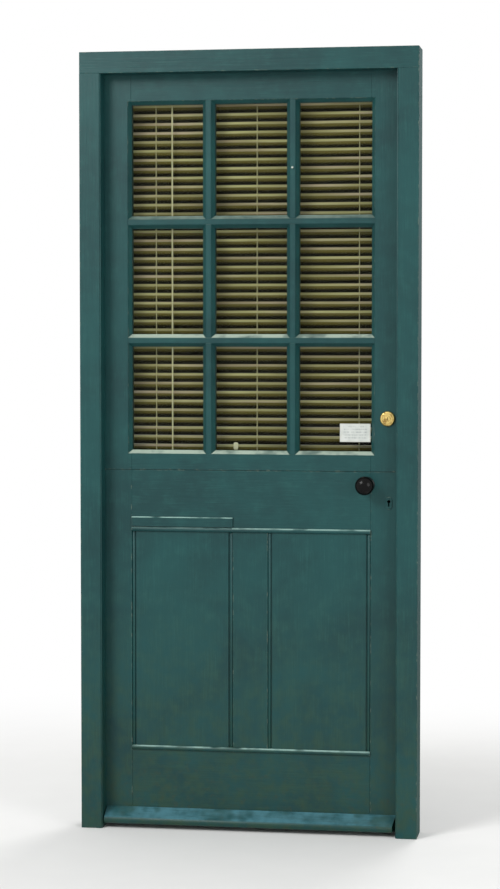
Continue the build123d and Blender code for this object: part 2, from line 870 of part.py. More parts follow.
def nightlatch_case():
    """Case on the inner face of the upper leaf."""
    half = nightlatch_case_height / 2
    x0, z = leaf_x - nightlatch_case_width, nightlatch_height
    case = block(x0, leaf_x, inner_y, inner_y + nightlatch_case_depth, z - half, z + half)
    case = fillet(case.edges().filter_by(Axis.Y), corner_round)
    case = chamfer(case.faces().sort_by(Axis.Y)[-1].edges(), nightlatch_case_bevel)
    case -= bolt_channel(night_bolt_y, z, nightlatch_bolt_height, bolt_length)
    neck_radius = turn_neck_radius + running_clearance
    case -= rod((cylinder_x, inner_y, z), (0, 1, 0), nightlatch_case_depth, neck_radius)
    face = inner_y + nightlatch_case_depth
    return case - block(snib_x, snib_x + snib_size + snib_throw, face - snib_slot_depth, face,
                        snib_z - snib_slot_height / 2, snib_z + snib_slot_height / 2)


def nightlatch_turn():
    """Inside turn: a short neck and a knob with a thumb bar."""
    x, z = cylinder_x, nightlatch_height
    face = inner_y + nightlatch_case_depth
    neck_start = night_bolt_y + bolt_thickness / 2 + turn_gap
    neck_end = face + turn_disc_depth / 2
    turn = rod((x, neck_start, z), (0, 1, 0), neck_end - neck_start, turn_neck_radius)
    turn += rod((x, face + turn_gap, z), (0, 1, 0), turn_disc_depth, turn_radius)
    half = turn_grip_width / 2
    grip = block(x - half, x + half, face + turn_disc_depth, face + turn_depth,
                 z - turn_grip_height / 2, z + turn_grip_height / 2)
    return turn + fillet(grip.edges().filter_by(Axis.Y), turn_grip_round)


def nightlatch_snib():
    """Small slide that holds the bolt back."""
    face = inner_y + nightlatch_case_depth
    gap = running_clearance
    half = snib_slot_height / 2 - gap
    stem = block(snib_x + gap, snib_x + snib_size - gap, face + gap - snib_slot_depth, face + 2 * gap,
                 snib_z - half, snib_z + half)
    half = snib_size / 2
    button = block(snib_x, snib_x + snib_size, face + gap, face + snib_depth, snib_z - half, snib_z + half)
    return stem + chamfer(button.faces().sort_by(Axis.Y)[-1].edges(), snib_bevel)


def keep(x0, depth, low, high, pockets):
    """Box keep on the jamb with one pocket for each bolt, open towards the lock."""
    body = block(x0, x0 + keep_width, inner_y, inner_y + depth, low, high)
    body = fillet(body.faces().sort_by(Axis.X)[-1].edges().filter_by(Axis.Z), corner_round)
    for y, z, height, throw in pockets:
        play = keep_pocket_play / 2
        half_t, half_h = bolt_thickness / 2 + play, height / 2 + play
        body -= block(x0, x0 + throw + play, y - half_t, y + half_t, z - half_h, z + half_h)
    return body


def nightlatch_keep():
    """Keep of the nightlatch."""
    pocket = (night_bolt_y, nightlatch_height, nightlatch_bolt_height, deadbolt_throw)
    half = nightlatch_keep_height / 2
    low, high = nightlatch_height - half, nightlatch_height + half
    return keep(rebate_x, nightlatch_case_depth, low, high, [pocket])


# Rim lock

def rim_case():
    """Rim lock case on the inner face of the lower leaf."""
    x0 = leaf_x - rim_case_width
    case = block(x0, leaf_x, inner_y, inner_y + rim_case_depth, rim_case_foot, rim_case_head)
    case = chamfer(case.faces().sort_by(Axis.Y)[-1].edges(), rim_case_bevel)
    for height in (latch_height, deadbolt_height):
        case -= bolt_channel(bolt_y, height, rim_bolt_height, bolt_length)
    bore = follower_radius + running_clearance
    case -= rod((knob_x, inner_y, knob_height), (0, 1, 0), rim_case_depth, bore)
    return case - keyhole(inner_y, inner_y + rim_case_depth)


def rim_keep():
    """Keep of the rim lock, as tall as its case."""
    pockets = [(bolt_y, latch_height, rim_bolt_height, latch_throw),
               (bolt_y, deadbolt_height, rim_bolt_height, deadbolt_throw)]
    return keep(rebate_x, rim_case_depth, rim_case_foot, rim_case_head, pockets)


def knob(direction, face):
    """Round knob on a short neck; direction is -1 outside, 1 inside, face is what it stands on."""
    half = knob_thickness / 2
    centre = knob_standoff - half
    outline = Polyline(
        (0, knob_gap), (knob_collar_radius, knob_gap), (knob_collar_radius, knob_collar_depth),
        (knob_neck_radius, knob_collar_length), (knob_neck_radius, knob_neck_length),
    ) + Bezier(
        (knob_neck_radius, knob_neck_length), (knob_shoulder_radius, knob_shoulder_length),
        (knob_radius, centre - half * quarter_round), (knob_radius, centre),
    ) + Bezier(
        (knob_radius, centre), (knob_radius, centre + half * quarter_round),
        (knob_radius * quarter_round, knob_standoff), (0, knob_standoff),
    ) + Line((0, knob_standoff), (0, knob_gap))
    shape = revolve(make_face(outline), Axis.Y)
    side = spindle_side / 2
    shape -= block(-side, side, 0, centre, -side, side)
    if direction < 0:
        shape = mirror(shape, Plane.XZ)
    return Pos(knob_x, face, knob_height) * shape


def outer_knob():
    """Outside knob on its rose."""
    return knob(-1, face_y - rose_depth)


def inner_knob():
    """Inside knob on the lock case."""
    return knob(1, inner_y + rim_case_depth)


def knob_rose():
    """Round plate under the outside knob."""
    outline = Polyline(
        (spindle_hole_radius, face_y), (rose_radius, face_y), (rose_radius, face_y - rose_edge),
        (rose_radius - rose_slope, face_y - rose_depth), (spindle_hole_radius, face_y - rose_depth),
        (spindle_hole_radius, face_y),
    )
    return turned(outline, knob_x, knob_height)


def knob_spindle():
    """Square spindle through both knobs with the round follower in the lock case."""
    half = spindle_side / 2
    reach = knob_standoff - knob_thickness / 2
    y0, y1 = face_y - rose_depth - reach, inner_y + rim_case_depth + reach
    bar = block(knob_x - half, knob_x + half, y0, y1, knob_height - half, knob_height + half)
    start = (knob_x, inner_y + running_clearance, knob_height)
    depth = rim_case_depth - 2 * running_clearance
    return bar + rod(start, (0, 1, 0), depth, follower_radius)


def keyhole_plate():
    """Long oval plate round the keyhole."""
    centre = (keyhole_x, face_y, keyhole_height - keyhole_drop / 2 + key_plate_rise)
    plane = Plane(origin=centre, x_dir=(1, 0, 0), z_dir=(0, -1, 0))
    oval = Rot(0, 0, 90) * SlotOverall(key_plate_height, key_plate_width)
    plate = extrude(plane * oval, amount=key_plate_depth)
    plate = chamfer(plate.faces().sort_by(Axis.Y)[0].edges(), key_plate_bevel)
    return plate - keyhole(face_y - key_plate_depth, face_y)


# Tower bolt

def guide(z, clearance):
    """Guide loop round the rod, standing on the leaf or plate."""
    half = tower_rod_radius + clearance + guide_wall
    top = tower_axis_y + half
    loop = block(tower_x - half, tower_x + half, inner_y + tower_plate_thickness, top, z, z + guide_height)
    loop = fillet(loop.faces().sort_by(Axis.Y)[-1].edges().filter_by(Axis.Z), guide_wall)
    bore = rod((tower_x, tower_axis_y, z), (0, 0, 1), guide_height, tower_rod_radius + clearance)
    return loop - bore


def tower_plate():
    """Backplate of the tower bolt with its two guides."""
    half = tower_plate_width / 2
    plate = block(tower_x - half, tower_x + half, inner_y, inner_y + tower_plate_thickness,
                  tower_foot, tower_plate_head)
    for z in (tower_guide_z, tower_plate_head - guide_height - guide_end_distance):
        plate += guide(z, guide_clearance)
    return plate


def tower_rod():
    """Rod with a side knob, shown drawn down."""
    top = lower_head_z - tower_rod_setback
    start = (tower_x, tower_axis_y, top - tower_rod_length)
    shape = rod(start, (0, 0, 1), tower_rod_length, tower_rod_radius)
    shape = chamfer(shape.faces().sort_by(Axis.Z)[-1].edges(), tower_tip_bevel)
    grip = (tower_x, tower_axis_y, tower_guide_z + guide_height + tower_grip_rise)
    return shape + rod(grip, (0, 1, 0), tower_grip_length, tower_rod_radius)


def tower_keep():
    """Keep of the tower bolt on the upper leaf."""
    half = tower_plate_width / 2
    low = upper_foot_z + tower_keep_rise
    plate = block(tower_x - half, tower_x + half, inner_y, inner_y + tower_plate_thickness,
                  low, low + tower_keep_height)
    return plate + guide(low + (tower_keep_height - guide_height) / 2, keep_clearance)


# Blind

def slat_profile():
    """Crowned slat section in (Y, Z) about its own middle, level."""
    half = slat_width / 2
    t = slat_thickness
    outline = ThreePointArc((-half, 0), (0, slat_crown), (half, 0)) + Line((half, 0), (half, -t))
    outline += ThreePointArc((half, -t), (0, slat_crown - t), (-half, -t)) + Line((-half, -t), (-half, 0))
    return make_face(outline)


def blind_slats():
    """All slats, tilted with the outer edge up."""
    face = Plane.YZ * slat_profile()
    slat = extrude(face, amount=slat_length / 2, both=True)
    slat = Rot(-slat_tilt, 0, 0) * slat
    top = headrail_z - first_slat_drop
    places = [top - i * slat_pitch for i in range(slat_count)]
    return group([Pos(0, slat_y, z) * slat for z in places])


def blind_reach():
    """How far a tilted slat and its string stand from the middle plane of the blind."""
    return slat_width / 2 * cos(radians(slat_tilt)) + slat_thickness * sin(radians(slat_tilt))


def blind_ladders():
    """Front and back strings of the three ladders."""
    strings = []
    for step in (-1, 0, 1):
        x = ladder_offset + step * ladder_pitch
        for side in (-1, 1):
            near = slat_y + side * (blind_reach() + string_gap)
            ends = sorted((near, near + side * string_thickness))
            half = string_width / 2
            strings.append(block(x - half, x + half, ends[0], ends[1], bottom_rail_z, headrail_z))
    return group(strings)


def blind_headrail():
    """Open-topped channel with the hook that the wand hangs from."""
    half = slat_length / 2
    top = headrail_z + headrail_size
    w = headrail_wall
    rail = block(-half, half, headrail_y, headrail_y + headrail_size, headrail_z, top)
    rail -= block(-half, half, headrail_y + w, headrail_y + headrail_size - w, headrail_z + w, top)
    half = wand_hook_width / 2
    return rail + block(wand_x - half, wand_x + half, wand_y - wand_radius, headrail_y,
                        headrail_z, headrail_z + wand_hook_height)


def blind_bottom_rail():
    """Bar that closes the foot of the blind."""
    half_y = bottom_rail_depth_blind / 2
    low = bottom_rail_z - bottom_rail_height_blind
    half = slat_length / 2
    bar = block(-half, half, slat_y - half_y, slat_y + half_y, low, bottom_rail_z)
    return fillet(bar.edges().filter_by(Axis.X), bottom_rail_round)


def blind_wand():
    """Tilt wand that hangs between the slats and the glazing bars."""
    return rod((wand_x, wand_y, headrail_z), (0, 0, -1), wand_length, wand_radius)


def blind_brackets():
    """Box brackets that hold the headrail ends to the top rail."""
    brackets = []
    top = headrail_z + headrail_size
    half = slat_length / 2
    w = bracket_wall
    for side in (-1, 1):
        ends = sorted((side * (half - bracket_width), side * (half + w)))
        bracket = block(ends[0], ends[1], inner_y, headrail_y, headrail_z, top + w)
        bracket += block(ends[0], ends[1], headrail_y, headrail_y + headrail_size, top, top + w)
        cap = sorted((side * half, side * (half + w)))
        bracket += block(cap[0], cap[1], headrail_y, headrail_y + headrail_size, headrail_z, top + w)
        brackets.append(bracket)
    return group(brackets)


# Card and pin

def window_card():
    """Small card on the lower right pane."""
    right = opening_x - card_side_gap
    low = glaze_foot_z + card_foot_gap
    return block(right - card_width, right, glass_y - card_thickness, glass_y, low, low + card_height)


def bar_pin():
    """Small round-headed pin on the right upright bar."""
    front = face_y + bar_setback
    y = front - bar_pin_length
    start = (bar_x, y, bar_pin_height)
    pin = rod(start, (0, 1, 0), bar_pin_length, bar_pin_shank_radius)
    return pin + cone(start, (0, 1, 0), bar_pin_head_depth, bar_pin_face_radius, bar_pin_radius)


def save(name, shape):
    """Writes one named sub-part."""
    export_step(shape, f"parts/{name}.step")


def build():
    """Writes every sub-part."""
    save("frame_jamb_hinge", jamb(-1) - hinge_seats(-1, all_hinges))
    save("frame_jamb_lock", jamb(1))
    save("frame_head", frame_head())
    save("hinge_plates_frame", group([hinge_plate(-1, z) for z in all_hinges]))
    save("hinge_pins", group([hinge_pin(z) for z in all_hinges]))
    save("frame_screws", group(hinge_screws(-1, all_hinges)))
    save("nightlatch_keep", nightlatch_keep())
    save("rim_lock_keep", rim_keep())

    save("upper_stile_hinge", upper_stile(-1))
    save("upper_stile_lock", upper_stile(1))
    save("upper_top_rail", upper_rail(1))
    save("upper_foot_rail", upper_rail(-1))
    save("bar_upright_left", upright_bar(-bar_x))
    save("bar_upright_right", upright_bar(bar_x))
    save("bar_cross_low", cross_bar(low_bar_z))
    save("bar_cross_high", cross_bar(high_bar_z))
    for name, row in zip(("low", "middle", "high"), light_rows()):
        save(f"panes_{name}_row", group([pane(column, row) for column in light_columns()]))
    lights = [(column, row) for column in light_columns() for row in light_rows()]
    save("putty_fillets", group([putty(column, row) for column, row in lights]))
    save("window_card", window_card())
    save("bar_pin", bar_pin())
    save("hinge_plates_upper", group([hinge_plate(1, z) for z in upper_hinges]))
    save("upper_screws", group(hinge_screws(1, upper_hinges)))
    save("nightlatch_ring", nightlatch_ring())
    save("nightlatch_cylinder", nightlatch_cylinder())
    save("nightlatch_plug", nightlatch_plug())
    save("nightlatch_case", nightlatch_case())
    bolt = lock_bolt(night_bolt_y, nightlatch_height, nightlatch_bolt_height, bolt_length)
    save("nightlatch_bolt", latch_bevel(bolt, night_bolt_y, nightlatch_height, nightlatch_bolt_height))
    save("nightlatch_turn", nightlatch_turn())
    save("nightlatch_snib", nightlatch_snib())
    save("tower_bolt_keep", tower_keep())
    save("blind_headrail", blind_headrail())
    save("blind_brackets", blind_brackets())
    save("blind_slats", blind_slats())
    save("blind_ladders", blind_ladders())
    save("blind_bottom_rail", blind_bottom_rail())
    save("blind_wand", blind_wand())

    save("lower_stile_hinge", lower_stile(-1))
    save("lower_stile_lock", lower_stile(1))
    save("lower_top_rail", lower_top_rail())
    save("lower_bottom_rail", bottom_rail())
    save("lower_muntin", muntin())
    save("panel_left", panel(-1))
    save("panel_right", panel(1))
    save("panel_strips", panel_strips())
    save("weatherboard", weatherboard())
    save("hinge_plates_lower", group([hinge_plate(1, z) for z in lower_hinges]))
    save("lower_screws", group(hinge_screws(1, lower_hinges)))
    save("rim_lock_case", rim_case())
    latch = lock_bolt(bolt_y, latch_height, rim_bolt_height, bolt_length)
    save("rim_latch_bolt", latch_bevel(latch, bolt_y, latch_height, rim_bolt_height))
    save("rim_dead_bolt", lock_bolt(bolt_y, deadbolt_height, rim_bolt_height, bolt_length))
    save("knob_spindle", knob_spindle())
    save("outer_knob", outer_knob())
    save("inner_knob", inner_knob())
    save("knob_rose", knob_rose())
    save("keyhole_plate", keyhole_plate())
    save("tower_bolt_plate", tower_plate())
    save("tower_bolt_rod", tower_rod())


os.makedirs("parts", exist_ok=True)
build()
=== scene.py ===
import math
import bmesh
import bpy
import numpy as np
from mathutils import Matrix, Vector


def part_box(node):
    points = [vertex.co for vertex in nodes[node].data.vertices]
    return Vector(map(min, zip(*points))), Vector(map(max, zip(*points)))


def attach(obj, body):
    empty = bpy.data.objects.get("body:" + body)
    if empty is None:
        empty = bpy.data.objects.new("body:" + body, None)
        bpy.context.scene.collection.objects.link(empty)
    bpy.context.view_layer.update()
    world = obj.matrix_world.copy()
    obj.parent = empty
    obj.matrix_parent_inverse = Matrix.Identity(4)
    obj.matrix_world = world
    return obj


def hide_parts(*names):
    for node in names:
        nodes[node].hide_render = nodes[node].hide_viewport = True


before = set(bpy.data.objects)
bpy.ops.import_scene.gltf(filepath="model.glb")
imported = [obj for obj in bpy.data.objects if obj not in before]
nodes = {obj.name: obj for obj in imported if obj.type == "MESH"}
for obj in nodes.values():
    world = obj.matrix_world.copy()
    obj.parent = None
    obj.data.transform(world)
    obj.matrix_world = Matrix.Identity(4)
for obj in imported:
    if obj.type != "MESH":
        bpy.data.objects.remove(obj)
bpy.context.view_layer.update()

print("solids loaded:", len(nodes))


# Shader maths

def screenColour(red, green, blue):
    # screen values 0 to 255 as linear light: ((c / 255 + 0.055) / 1.055) ^ 2.4
    return tuple(((c / 255 + 0.055) / 1.055) ** 2.4 for c in (red, green, blue)) + (1.0,)


class Wire:
    # one output; an expression on wires adds the Math nodes it needs
    def __init__(self, graph, socket):
        self.graph = graph
        self.socket = socket

    def maths(self, operation, *values, clamp=False):
        settings = {"operation": operation, "use_clamp": clamp}
        return self.graph.add("ShaderNodeMath", settings, dict(enumerate(values)))

    def __add__(self, other):
        return self.maths("ADD", self, other)

    def __radd__(self, other):
        return self.maths("ADD", other, self)

    def __sub__(self, other):
        return self.maths("SUBTRACT", self, other)

    def __rsub__(self, other):
        return self.maths("SUBTRACT", other, self)

    def __mul__(self, other):
        return self.maths("MULTIPLY", self, other)

    def __truediv__(self, other):
        return self.maths("DIVIDE", self, other)

    def __pow__(self, other):
        return self.maths("POWER", self, other)

    def __abs__(self):
        return self.maths("ABSOLUTE", self)

    def least(self, other):
        return self.maths("MINIMUM", self, other)

    def most(self, other):
        return self.maths("MAXIMUM", self, other)

    def kept(self):
        # held between 0 and 1
        return self.maths("ADD", self, 0.0, clamp=True)

    def sine(self):
        return self.maths("SINE", self)

    def remainder(self):
        # what is left over the whole number
        return self.maths("FRACT", self)

    def ramp(self, start, end):
        # 0 at start, 1 at end, smooth between
        values = {"Value": self, "From Min": start, "From Max": end}
        return self.graph.add("ShaderNodeMapRange", {"interpolation_type": "SMOOTHSTEP"}, values)

    def blended(self, other, share):
        # the share of this wire plus the rest of the other
        return self * share + other * (1 - share)


def summed(start, weights, **wires):
    # start plus each wire times the weight of its name
    for name, wire in wires.items():
        start = start + wire * weights[name]
    return start


class Graph:
    # node tree of one material or of the world
    def __init__(self, owner):
        self.owner = bpy.data.materials.new(owner) if isinstance(owner, str) else owner
        self.owner.use_nodes = True
        self.tree = self.owner.node_tree
        self.tree.nodes.clear()

    def add(self, kind, settings=None, values=None, output=0):
        # one node; a Wire among the values becomes a link, anything else a constant on its input
        node = self.tree.nodes.new(kind)
        for key, value in (settings or {}).items():
            setattr(node, key, value)
        for key, value in (values or {}).items():
            if isinstance(value, Wire):
                self.tree.links.new(value.socket, node.inputs[key])
            else:
                node.inputs[key].default_value = value
        return Wire(self, node.outputs[output]) if len(node.outputs) else None

    def place(self, scale, shift=(0, 0, 0)):
        # the object's own coordinates, scaled and then shifted
        coords = self.add("ShaderNodeTexCoord", output="Object")
        return self.add("ShaderNodeMapping", {}, {"Vector": coords, "Location": shift, "Scale": scale})

    def axes(self):
        coords = self.add("ShaderNodeTexCoord", output="Object")
        return [self.add("ShaderNodeSeparateXYZ", {}, {0: coords}, output=i) for i in range(3)]

    def upward(self):
        # how much the surface looks up, from -1 to 1
        normal = self.add("ShaderNodeNewGeometry", output="Normal")
        return self.add("ShaderNodeSeparateXYZ", {}, {0: normal}, output=2)

    def noise(self, scale, vector=None, detail=3.0, rough=0.55, twist=0.0):
        # scale is in cells per metre
        values = {"Scale": scale, "Detail": detail, "Roughness": rough, "Distortion": twist}
        values["Vector"] = vector or self.add("ShaderNodeTexCoord", output="Object")
        return self.add("ShaderNodeTexNoise", {"noise_dimensions": "3D"}, values)

    def streaks(self, cells, axis, shift=(0, 0, 0), **settings):
        # noise drawn out along one axis: cells per metre across it and along it
        across, along = cells
        scale = [across] * 3
        scale[axis] = along
        return self.noise(1.0, self.place(scale, shift), **settings)

    def mixed(self, share, first, second):
        # colour: first where share is 0, second where it is 1
        values = {0: share, 6: first, 7: second}
        return self.add("ShaderNodeMix", {"data_type": "RGBA"}, values, output=2)

    def surface(self, colour, roughness, height, depth, **fixed):
        # one Principled shader; height is bumped by depth metres, fixed names other sockets
        bump = self.add("ShaderNodeBump", {}, {"Height": height, "Distance": depth})
        values = {"Base Color": colour, "Roughness": roughness, "Normal": bump}
        values.update({key.replace("_", " "): value for key, value in fixed.items()})
        shader = self.add("ShaderNodeBsdfPrincipled", {}, values)
        self.add("ShaderNodeOutputMaterial", {}, {"Surface": shader})
        return self.owner


def arrisDistance(graph, low, high):
    # in a box: distance to the nearest arris, the second smallest of the three face distances
    gaps = []
    for wire, start, end in zip(graph.axes(), low, high):
        gaps.append((wire - start).least(end - wire))
    total = gaps[0] + gaps[1] + gaps[2]
    widest = gaps[0].most(gaps[1]).most(gaps[2])
    nearest = gaps[0].least(gaps[1]).least(gaps[2])
    return total - widest - nearest


def insideBox(graph, box, rim):
    # 1 in a box (lowest and highest corner), 0 outside it, smooth over the rim
    inside = 1.0
    for wire, start, end in zip(graph.axes(), *box):
        inside = (wire - start).least(end - wire).ramp(0.0, rim) * inside
    return inside


# Painted timber

paintLook = {
    "deep": screenColour(11, 55, 56),
    "even": screenColour(15, 66, 66),
    "pale": screenColour(31, 82, 79),
    "olive": screenColour(38, 62, 42),
    "soil": screenColour(54, 60, 42),
    # dust, which also stands in as a painted highlight on faces that look up
    "dust": screenColour(158, 174, 160),
    "bare": screenColour(112, 122, 106),
    # noise, in cells per metre; streaks and figure have them across and along the grain
    "streaks": (625, 625 / 45), "figure": (125, 625 / 130), "figureShift": (3.1, 1.7, 0.4),
    "stains": 3.2, "blotch": 23.0, "drops": 60.0, "patches": 13.0, "chips": 75.0,
    # each layer: where its noise starts and is full, its share, and how high or wide it reaches
    "stainRamp": (0.34, 0.66),
    "brushMix": 0.5, "brushRamp": (0.46, 0.7), "brushShare": 0.55,
    "oliveRamp": (0.3, 0.75), "oliveShare": 0.75, "oliveTop": 0.8,
    "dropRamp": (0.5, 0.72), "splashShare": 0.5, "splashTop": 0.34,
    "speckleMix": 0.6, "speckleRamp": (0.22, 0.6), "patchRamp": (0.36, 0.56), "upRamp": (0.25, 0.95),
    "mostDustAndSheen": 1.05, "paintedShadeShare": 0.7, "paintedShadeRim": 0.002,
    "chipRamp": (0.5, 0.68), "chipShare": 0.55, "chipWidth": 0.0035,
    "crackShare": 0.7, "crackWidth": 0.0009,
    "sideSkin": 0.001, "sideRamp": (0.0, 0.0005),
    # what each layer adds to the roughness and to the height
    "roughness": 0.34, "rougher": {"streaks": 0.12, "dust": 0.35, "splash": 0.2, "side": 0.5},
    "relief": {"streaks": 0.45, "figure": 0.8, "blotch": 0.25, "rubbed": -0.4, "crack": -1.6},
    "bump": 0.0004, "specular": 0.3,
}
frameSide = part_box("frame_jamb_lock")[1].x


def paintedTimber(name, grain, low, high, dusty=0.5, seams=(), dustAndSheenColour=paintLook["dust"],
                  leastDustAndSheen=0.35, paintedShadeBox=None):
    # for a piece in the box low to high, with its grain along one axis; colour: an even coat, moved by
    # broad stains and by brush streaks along the grain, olive in blotches towards the foot, soiled near
    # the foot, paler where it looks up (dust and a painted highlight), less so in a box of painted shade,
    # rubbed at the arrises, with a dark hairline at each seam (axis, place); height: streaks, grain and
    # dents; rougher on the frame's outer sides
    look = paintLook
    g = Graph(name)
    x, height = g.axes()[::2]
    streaks = g.streaks(look["streaks"], grain, detail=3.0, rough=0.6)
    figure = g.streaks(look["figure"], grain, look["figureShift"], detail=2.0)
    stains = g.noise(look["stains"], detail=4.0, rough=0.6, twist=0.4)
    blotch = g.noise(look["blotch"], detail=4.0, rough=0.65)
    colour = g.mixed(stains.ramp(*look["stainRamp"]), look["deep"], look["even"])
    brushed = streaks.blended(blotch, look["brushMix"]).ramp(*look["brushRamp"])
    colour = g.mixed(brushed * look["brushShare"], colour, look["pale"])
    # olive in blotches, more of it towards the foot
    lowDown = (look["oliveTop"] - height).ramp(0.0, look["oliveTop"])
    oliveLow = lowDown * blotch.ramp(*look["oliveRamp"])
    colour = g.mixed(oliveLow * look["oliveShare"], colour, look["olive"])
    drops = g.noise(look["drops"], detail=5.0, rough=0.7).ramp(*look["dropRamp"])
    splash = (look["splashTop"] - height).ramp(0.0, look["splashTop"]) * drops
    colour = g.mixed(splash * look["splashShare"], colour, look["soil"])
    speckle = blotch.blended(streaks, look["speckleMix"]).ramp(*look["speckleRamp"])
    patches = g.noise(look["patches"], detail=2.0).ramp(*look["patchRamp"])
    thickness = leastDustAndSheen + patches * (look["mostDustAndSheen"] - leastDustAndSheen)
    # paler where it looks up: dust, and a painted highlight of light falling on upward faces
    dust = g.upward().ramp(*look["upRamp"]) * speckle * thickness * dusty
    if paintedShadeBox:
        # painted shade: less of the pale layer inside the shaded box
        dust = dust * (1.0 - insideBox(g, paintedShadeBox, look["paintedShadeRim"]) * look["paintedShadeShare"])
    colour = g.mixed(dust.kept(), colour, dustAndSheenColour)
    chips = g.noise(look["chips"], detail=4.0, rough=0.7).ramp(*look["chipRamp"])
    rubbed = (look["chipWidth"] - arrisDistance(g, low, high)).ramp(0.0, look["chipWidth"]) * chips
    colour = g.mixed(rubbed * look["chipShare"], colour, look["bare"])
    relief = summed(0.0, look["relief"], streaks=streaks, figure=figure, blotch=blotch, rubbed=rubbed)
    for axis, at in seams:
        crack = (look["crackWidth"] - abs(g.axes()[axis] - at)).ramp(0.0, look["crackWidth"])
        colour = g.mixed(crack * look["crackShare"], colour, look["deep"])
        relief = summed(relief, look["relief"], crack=crack)
    side = (abs(x) - frameSide + look["sideSkin"]).ramp(*look["sideRamp"])
    shine = summed(look["roughness"], look["rougher"], streaks=streaks, dust=dust, splash=splash, side=side)
    return g.surface(colour, shine.kept(), relief, look["bump"], Specular_IOR_Level=look["specular"])


# axes of the grain, and seams where rails meet stiles
level, upright = 0, 2
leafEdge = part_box("upper_stile_lock")[0].x
leafSeams = ((0, -leafEdge), (0, leafEdge))
# two boxes of painted shade, with less dust and painted highlight: under the lath over the left panel, and
# the top row of lights
shadeBoxLook = {"lathDrop": 0.027, "below": 0.03, "beside": 0.01, "farOff": 3.0}
farOff = shadeBoxLook["farOff"]
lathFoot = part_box("panel_strips")[1].z - shadeBoxLook["lathDrop"]
underLath = ((-leafEdge - shadeBoxLook["beside"], -farOff, lathFoot - shadeBoxLook["below"]),
             (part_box("lower_muntin")[0].x, farOff, lathFoot))
topRow = ((-farOff, -farOff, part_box("bar_cross_high")[0].z), (farOff, farOff, farOff))
timber = {
    # node: axis of the grain, and what differs from an ordinary piece
    "frame_jamb_hinge": (upright, {}),
    "frame_jamb_lock": (upright, {}),
    "frame_head": (level, {"dusty": 0.3}),
    "upper_stile_hinge": (upright, {}),
    "upper_stile_lock": (upright, {}),
    "upper_top_rail": (level, {"seams": leafSeams}),
    "upper_foot_rail": (level, {"seams": leafSeams, "dusty": 0.9}),
    "bar_upright_left": (upright, {"dusty": 0.6}),
    "bar_upright_right": (upright, {"dusty": 0.6}),
    "bar_cross_low": (level, {"dusty": 0.9}),
    # the high bar's ledge gets less of the pale layer: painted shade
    "bar_cross_high": (level, {"dusty": 0.35}),
    "lower_stile_hinge": (upright, {}),
    "lower_stile_lock": (upright, {}),
    "lower_top_rail": (level, {"seams": leafSeams}),
    "lower_bottom_rail": (level, {"seams": leafSeams}),
    "lower_muntin": (upright, {}),
    "panel_left": (upright, {}),
    "panel_right": (upright, {}),
    # panel strips: a broken pale line along their tops, dust and a painted highlight
    "panel_strips": (level, {"dusty": 1.35, "dustAndSheenColour": screenColour(142, 176, 168),
                             "leastDustAndSheen": 0.08, "paintedShadeBox": underLath}),
    # weatherboard: its sloping top blue, a painted reflection of the sky, with dust
    "weatherboard": (level, {"dusty": 0.9, "dustAndSheenColour": screenColour(70, 120, 132)}),
    # putty: pale ledges of dust and painted highlight, with painted shade over the top row of lights
    "putty_fillets": (level, {"dusty": 1.5, "paintedShadeBox": topRow}),
}
arrisLook = {"width": 0.0009, "steps": 2, "angle": 50, "weld": 0.00002}


def dress(node, material, soften=False):
    # the node keeps its mesh; its slots change, and painted timber gets rounded arrises
    mesh = nodes[node].data
    mesh.materials.clear()
    mesh.materials.append(material)
    if soften:
        weld = nodes[node].modifiers.new("weld", "WELD")
        weld.merge_threshold = arrisLook["weld"]
        bevel = nodes[node].modifiers.new("arris", "BEVEL")
        bevel.width = arrisLook["width"]
        bevel.segments = arrisLook["steps"]
        bevel.limit_method = "ANGLE"
        bevel.angle_limit = math.radians(arrisLook["angle"])
        bevel.harden_normals = True


# a rounded lower_top_rail shows a line across its face, so it stays sharp
for node, (grain, differs) in timber.items():
    material = paintedTimber("paint-" + node, grain, *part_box(node), **differs)
    dress(node, material, node != "lower_top_rail")
print("timber painted:", len(timber))


# Metals, glass, card and plastics

brassLook = {
    "patches": 90.0, "tarnishRamp": (0.42, 0.66), "scratches": (900, 5000), "reliefMix": 0.5,
    "rougher": {"tarnish": 0.28, "scratches": 0.08}, "bump": 0.00012,
    "grooves": (0.0076, 0.0141), "grooveRamp": (0.0001, 0.0007), "grooveShade": 0.8, "grooveDepth": 2.0,
}


def brassFinish(name, light, dark, rough=0.3, middle=None):
    # colour: worn bright metal with brown tarnish in patches; height: fine scratches and pits; with a
    # middle (x, z), darker turned grooves at two distances round an axis along y
    look = brassLook
    g = Graph(name)
    patches = g.noise(look["patches"], detail=5.0, rough=0.65, twist=0.6)
    scratches = g.streaks(look["scratches"], 2, detail=2.0)
    tarnish = patches.ramp(*look["tarnishRamp"])
    colour = g.mixed(tarnish, light, dark)
    shine = summed(rough, look["rougher"], tarnish=tarnish, scratches=scratches)
    height = scratches.blended(patches, look["reliefMix"])
    if middle:
        x, z = g.axes()[::2]
        reach = ((x - middle[0]) ** 2 + (z - middle[1]) ** 2) ** 0.5
        inner, outer = (abs(reach - radius) for radius in look["grooves"])
        groove = 1.0 - inner.least(outer).ramp(*look["grooveRamp"])
        colour = g.mixed(groove * look["grooveShade"], colour, dark)
        height = height - groove * look["grooveDepth"]
    return g.surface(colour, shine, height, look["bump"], Metallic=1.0)


ironLook = {
    "peel": 700.0, "marks": 70.0, "rubRamp": (0.52, 0.72), "rubShare": 0.6, "reliefMix": 0.5,
    "rougher": {"rubbed": 0.22, "peel": 0.06}, "bump": 0.0002,
}


